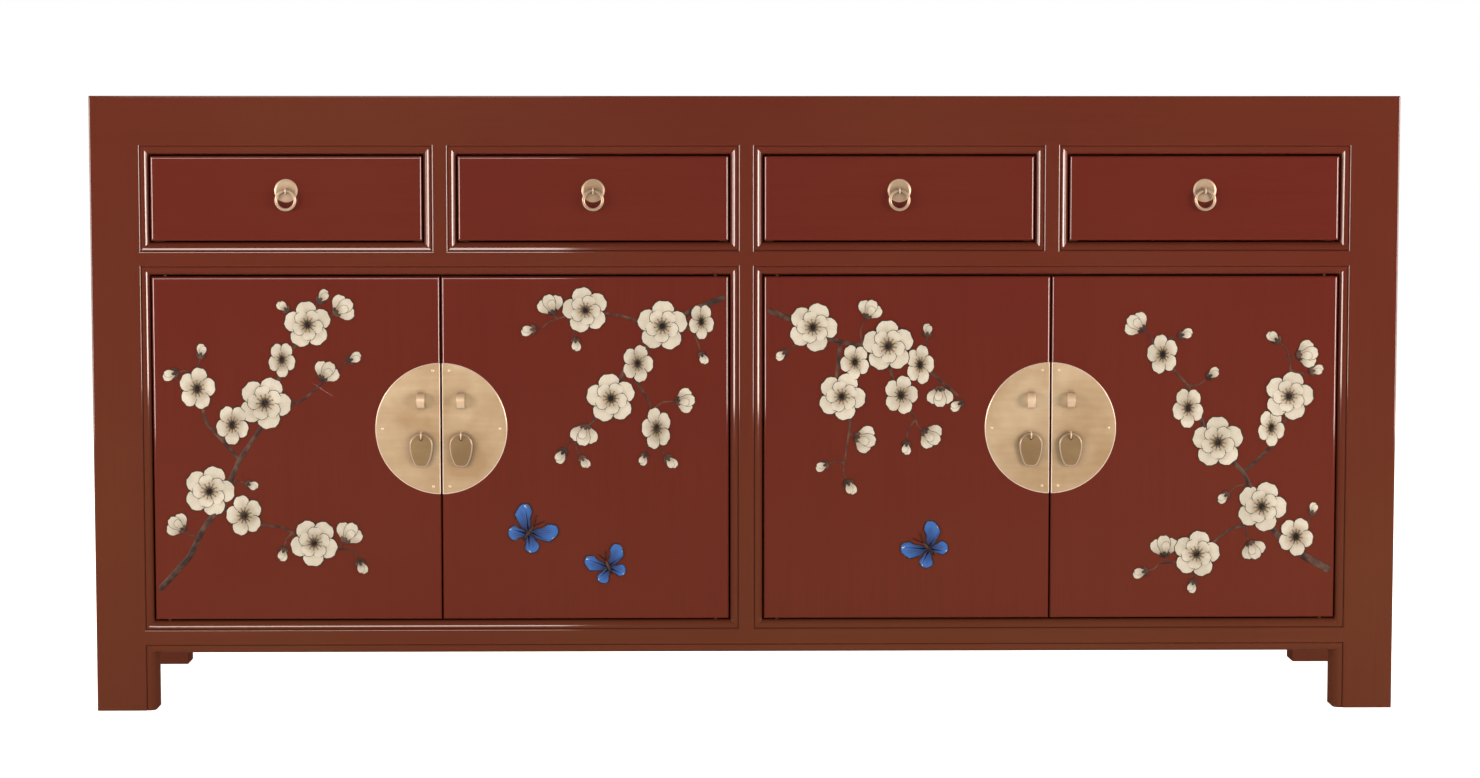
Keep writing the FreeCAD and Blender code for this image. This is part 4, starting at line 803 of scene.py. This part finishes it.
# %% [markdown]
# ## A butterfly
# Four wings of two shapes and a slender body. The wings are drawn as the petals are, with the tip
# outwards. The upper ones are swept towards their leading edge, so a left and a right one are drawn, and
# all are then turned into place on both sides of the body. Two thin feelers are stretched threads.

# %% Draw the butterfly
FEELER_STRETCH = 1.7
WING_SIDES = 18


def wing(name, width, length, sweep):
    """A wing with its foot at the body. The sweep pulls its tip to one side, towards the leading edge."""
    piece = flat_shape(name, WING_SIDES, width, length)
    for below, factor in [(0.7, 0.88), (0.42, 0.7), (0.15, 0.6)]:
        draw_in(piece, below * length, factor)
    for above in (0.5, 0.8):
        pick(piece, lambda place: place.z > above * length)
        bpy.ops.transform.translate(value=(sweep, 0, 0))
    return raise_paint(piece, "blue", front=0.6 * MM, line=1.5 * MM, slope=2 * MM, rise=0.2 * MM)


body = flat_shape("butterfly_body", 10, 4.2 * MM, 27 * MM)
draw_in(body, 12 * MM, 0.7)
raise_paint(body, "brown", front=1.1 * MM, line=0.4 * MM, slope=0.8 * MM, rise=0.4 * MM)

wings = []
for side in (-1, 1):
    lower_wing = wing("lower_wing", 25 * MM, 29 * MM, 0.0)
    upper_wing = wing("upper_wing", 30 * MM, 41 * MM, -side * 3 * MM)
    wings.append(placed(lower_wing, z=13 * MM, turn=side * 2.2))
    wings.append(placed(upper_wing, z=15 * MM, turn=side * 1.05, forward=0.25 * MM))
    wings.append(placed(thread, z=25 * MM, turn=side * 0.42, tall=FEELER_STRETCH))
    for model in (lower_wing, upper_wing):
        bpy.data.objects.remove(model)
butterfly = joined("butterfly", wings + [placed(body)])
print("butterfly with", len(butterfly.data.polygons), "faces")

# %% [markdown]
# ## Where the sprays grow
# One spray rises from the outer edge of each outer door, and one hangs from the centre stile over each
# inner door. A limb is given as a few points in millimetres on the front, and its thickness runs
# from the first number to the second. The flowers are placed along the limbs, clear of the brass plates
# and of the doors' edges.

# %% Lay out the sprays
SPRAYS = {
    "door_1": {
        "limbs": [
            (5.5, 1.6, [
                (-813, 168), (-770, 215), (-752, 252), (-728, 285),
                (-700, 350), (-655, 415), (-640, 480), (-600, 540),
            ]),
            (3.0, 1.1, [(-728, 285), (-690, 262), (-640, 255), (-592, 226), (-548, 224)]),
            (2.6, 1.1, [(-700, 350), (-745, 400), (-752, 430), (-764, 470)]),
            (2.4, 1.0, [(-655, 415), (-612, 432), (-562, 474)]),
        ],
        "flowers": [
            ("full", -742, 306, 1.08), ("single", -694, 272, 0.92), ("full", -664, 428, 1.12),
            ("single", -709, 398, 0.9), ("full", -604, 536, 1.0), ("full", -598, 234, 1.02),
            ("single", -757, 448, 0.95), ("single", -640, 488, 0.8), ("half", -566, 552, 0.95),
            ("half", -556, 236, 0.95), ("half", -585, 461, 0.9), ("half", -778, 252, 0.85),
            ("bud", -588, 568, 0.95), ("bud", -536, 208, 0.95), ("bud", -785, 470, 1.0),
            ("bud", -752, 492, 0.9), ("bud", -548, 486, 0.95), ("bud", -640, 226, 0.9),
            ("bud", -632, 556, 0.85), ("bud", -690, 316, 0.8),
        ],
    },
    "door_2": {
        "limbs": [
            (5.0, 1.5, [
                (-29, 574), (-70, 558), (-120, 528), (-140, 500),
                (-165, 480), (-190, 425), (-235, 378),
            ]),
            (2.6, 1.0, [(-120, 528), (-170, 548), (-225, 556), (-272, 540)]),
            (2.4, 1.0, [(-165, 480), (-135, 430), (-122, 380)]),
        ],
        "flowers": [
            ("full", -116, 534, 1.08), ("single", -62, 540, 0.8), ("full", -187, 434, 1.05),
            ("full", -222, 556, 0.98), ("single", -150, 482, 0.85), ("single", -124, 392, 0.95),
            ("half", -222, 396, 0.95), ("half", -266, 552, 0.9), ("half", -96, 430, 0.85),
            ("bud", -252, 362, 1.0), ("bud", -228, 352, 0.85), ("bud", -292, 530, 0.95),
            ("bud", -110, 352, 0.95), ("bud", -140, 356, 0.8), ("bud", -62, 496, 0.8),
            ("bud", -236, 516, 0.85),
        ],
    },
    "door_3": {
        "limbs": [
            (5.0, 1.5, [(29, 556), (75, 538), (104, 518), (130, 512), (190, 502), (250, 474), (294, 436)]),
            (2.8, 1.0, [(130, 512), (124, 460), (144, 400), (136, 344)]),
            (2.2, 1.0, [(190, 502), (206, 450), (234, 404)]),
        ],
        "flowers": [
            ("full", 92, 532, 1.05), ("full", 196, 506, 1.1), ("single", 240, 480, 0.9),
            ("full", 132, 436, 1.02), ("single", 214, 438, 0.88), ("single", 150, 484, 0.8),
            ("half", 268, 448, 0.9), ("half", 152, 380, 0.95), ("half", 246, 388, 0.9),
            ("half", 166, 546, 0.85), ("bud", 298, 428, 0.9), ("bud", 140, 318, 1.0),
            ("bud", 112, 342, 0.85), ("bud", 222, 372, 0.85), ("bud", 54, 498, 0.8),
            ("bud", 250, 520, 0.85),
        ],
    },
    "door_4": {
        "limbs": [
            (5.5, 1.6, [
                (813, 192), (770, 216), (742, 238), (720, 265),
                (690, 330), (640, 380), (612, 450), (566, 500),
            ]),
            (2.8, 1.1, [(720, 265), (670, 250), (622, 208), (574, 202)]),
            (2.8, 1.0, [(690, 330), (734, 370), (758, 430), (752, 486)]),
        ],
        "flowers": [
            ("full", 716, 282, 1.08), ("single", 764, 240, 0.88), ("full", 654, 372, 1.1),
            ("full", 752, 436, 1.05), ("single", 612, 420, 0.92), ("full", 626, 216, 1.0),
            ("single", 728, 392, 0.85), ("single", 576, 494, 0.9), ("half", 582, 214, 0.95),
            ("half", 764, 492, 0.95), ("half", 548, 528, 0.9), ("half", 700, 232, 0.85),
            ("bud", 556, 192, 0.95), ("bud", 736, 512, 0.95), ("bud", 782, 470, 0.9),
            ("bud", 600, 520, 0.9), ("bud", 640, 462, 0.9), ("bud", 668, 300, 0.85),
            ("bud", 786, 272, 0.8), ("bud", 622, 178, 0.85),
        ],
    },
}
BUTTERFLIES = [
    # door, x, z, turn in degrees, size
    ("door_2", -310, 236, 38, 1.0),
    ("door_2", -186, 188, -24, 0.85),
    ("door_3", 262, 214, -42, 0.95),
]
print(sum(len(spray["flowers"]) for spray in SPRAYS.values()), "flowers and buds")

# %% [markdown]
# ## Branches
# A branch is first only a chain of points. A plane is merged to a single vertex, the vertex is extruded
# from point to point, and the Skin modifier gives every point its thickness, like bark round a wire.
# Subdivision rounds it, and then it is pressed nearly flat. Every flower and bud that doesn't sit on a
# limb gets its own twig from the nearest point of a limb.

# %% Grow the limbs and twigs
BRANCH_FLATNESS = 0.16
TWIG_RADIUS = 1.0
CLOSE_ENOUGH = 9
TWIG_BEND = 0.14
KNOTS = random.Random(5)


def between_points(points, parts=4):
    """The points of a limb with more points along each stretch."""
    for here, there in zip(points, points[1:]):
        for part in range(parts):
            share = part / parts
            yield here[0] + (there[0] - here[0]) * share, here[1] + (there[1] - here[1]) * share
    yield points[-1]


def limb_chain(thick, thin, points):
    """Points with their radius, thinner towards the end and uneven as grown wood is."""
    last = len(points) - 1
    return [
        (x, z, (thick + (thin - thick) * count / last) * KNOTS.uniform(0.85, 1.2))
        for count, (x, z) in enumerate(points)
    ]


def twig_to(x, z, limbs):
    """A thin bent twig from the nearest limb to a flower, or nothing if the flower sits on the limb."""
    wood = [point for thick, thin, points in limbs for point in between_points(points)]
    fork = min(wood, key=lambda point: math.dist(point, (x, z)))
    if math.dist(fork, (x, z)) < CLOSE_ENOUGH:
        return None
    bend = KNOTS.choice([-TWIG_BEND, TWIG_BEND])
    middle_x = (fork[0] + x) / 2 + bend * (z - fork[1])
    middle_z = (fork[1] + z) / 2 - bend * (x - fork[0])
    return [(*fork, TWIG_RADIUS * 1.3), (middle_x, middle_z, TWIG_RADIUS), (x, z, TWIG_RADIUS * 0.8)]


def grow(chain):
    """One limb or twig, skinned, rounded and pressed flat on the drawing plane."""
    bpy.ops.object.select_all(action="DESELECT")
    bpy.ops.mesh.primitive_plane_add(size=MM)
    piece = bpy.context.object
    bpy.ops.object.mode_set(mode="EDIT")
    bpy.ops.mesh.merge(type="CENTER")
    at_x, at_z = 0.0, 0.0
    for count, (x, z, radius) in enumerate(chain):
        step = ((x - at_x) * MM, 0, (z - at_z) * MM)
        if count == 0:
            bpy.ops.transform.translate(value=step)
        else:
            bpy.ops.mesh.extrude_region_move(TRANSFORM_OT_translate={"value": step})
        at_x, at_z = x, z
    bpy.ops.object.mode_set(mode="OBJECT")
    bpy.ops.object.modifier_add(type="SKIN")
    for vertex, skin in zip(piece.data.vertices, piece.data.skin_vertices[0].data):
        here = (vertex.co.x / MM, vertex.co.z / MM)
        nearest = min(chain, key=lambda point: math.dist(point[:2], here))
        skin.radius = (nearest[2] * MM, nearest[2] * MM)
    bpy.ops.object.modifier_apply(modifier=piece.modifiers[0].name)
    bpy.ops.object.modifier_add(type="SUBSURF")
    piece.modifiers[0].levels = piece.modifiers[0].render_levels = 2
    bpy.ops.object.modifier_apply(modifier=piece.modifiers[0].name)
    bpy.ops.object.mode_set(mode="EDIT")
    bpy.ops.mesh.select_all(action="SELECT")
    bpy.ops.transform.resize(value=(1, BRANCH_FLATNESS, 1), center_override=MIDDLE)
    bpy.ops.mesh.normals_make_consistent(inside=False)
    bpy.ops.object.mode_set(mode="OBJECT")
    bpy.ops.object.shade_smooth()
    piece.data.materials.append(paints["brown"])
    return piece


twigs, branches = {}, {}
for door, spray in SPRAYS.items():
    twigs[door] = [twig_to(x, z, spray["limbs"]) for kind, x, z, size in spray["flowers"]]
    chains = [limb_chain(*limb) for limb in spray["limbs"]] + [twig for twig in twigs[door] if twig]
    branches[door] = joined(f"{door}_branches", [grow(chain) for chain in chains])
    print(door, len(chains), "limbs and twigs,", len(branches[door].data.polygons), "faces")

# %% [markdown]
# ## Paint the doors
# Every flower is a copy with its own mesh. Buds and half-open flowers point along their twigs, and the
# others are turned by chance from a fixed seed. Single flowers are seen a little from the side, which
# makes them narrower. All flowers of a door become one piece that swings with the door.

# %% Set the flowers and butterflies on the doors
CHANCE = random.Random(11)
LIFT = 0.35 * MM


def set_flower(kind, x, z, size, twig, count):
    """A copy of a flower, on the drawing plane."""
    if kind in ("half", "bud") and twig:
        turn = math.atan2(x - twig[1][0], z - twig[1][1])
    else:
        turn = CHANCE.uniform(0, 2 * math.pi)
    narrow = CHANCE.uniform(0.7, 0.9) if kind == "single" else 1.0
    flower = placed(FLOWERS[kind], turn=turn, wide=size, tall=size)
    flower.data.transform(Matrix.Diagonal((narrow, 1, 1, 1)))
    flower.data.transform(Matrix.Translation((x * MM, -LIFT * (count % 2), z * MM)))
    return flower


painted = {f"{door}_branches": door for door in SPRAYS}
pieces = {f"{door}_branches": branches[door] for door in SPRAYS}
for door, spray in SPRAYS.items():
    flowers = [
        set_flower(*row, twig, count) for count, (row, twig) in enumerate(zip(spray["flowers"], twigs[door]))
    ]
    pieces[f"{door}_blossoms"] = joined(f"{door}_blossoms", flowers)
    painted[f"{door}_blossoms"] = door
for door in ("door_2", "door_3"):
    flying = [
        placed(butterfly, x=x * MM, z=z * MM, turn=math.radians(turn), wide=size, tall=size)
        for its_door, x, z, turn, size in BUTTERFLIES if its_door == door
    ]
    pieces[f"{door}_butterflies"] = joined(f"{door}_butterflies", flying)
    painted[f"{door}_butterflies"] = door

for name, piece in pieces.items():
    low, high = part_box(f"{painted[name]}_leaf")
    piece.data.transform(Matrix.Translation((0, low.y, 0)))
    bpy.ops.object.select_all(action="DESELECT")
    piece.select_set(True)
    bpy.context.view_layer.objects.active = piece
    bpy.ops.object.material_slot_remove_unused()
    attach(piece, painted[name])
    places = [vertex.co for vertex in piece.data.vertices]
    sides = (min(place.x for place in places) - low.x, high.x - max(place.x for place in places))
    heights = (min(place.z for place in places) - low.z, high.z - max(place.z for place in places))
    print(name, "clear of the edges by", [round(gap / MM, 1) for gap in sides + heights], "mm")

for model in [petal, thread, head, stamens, sepal, body, butterfly, *FLOWERS.values()]:
    bpy.data.objects.remove(model)
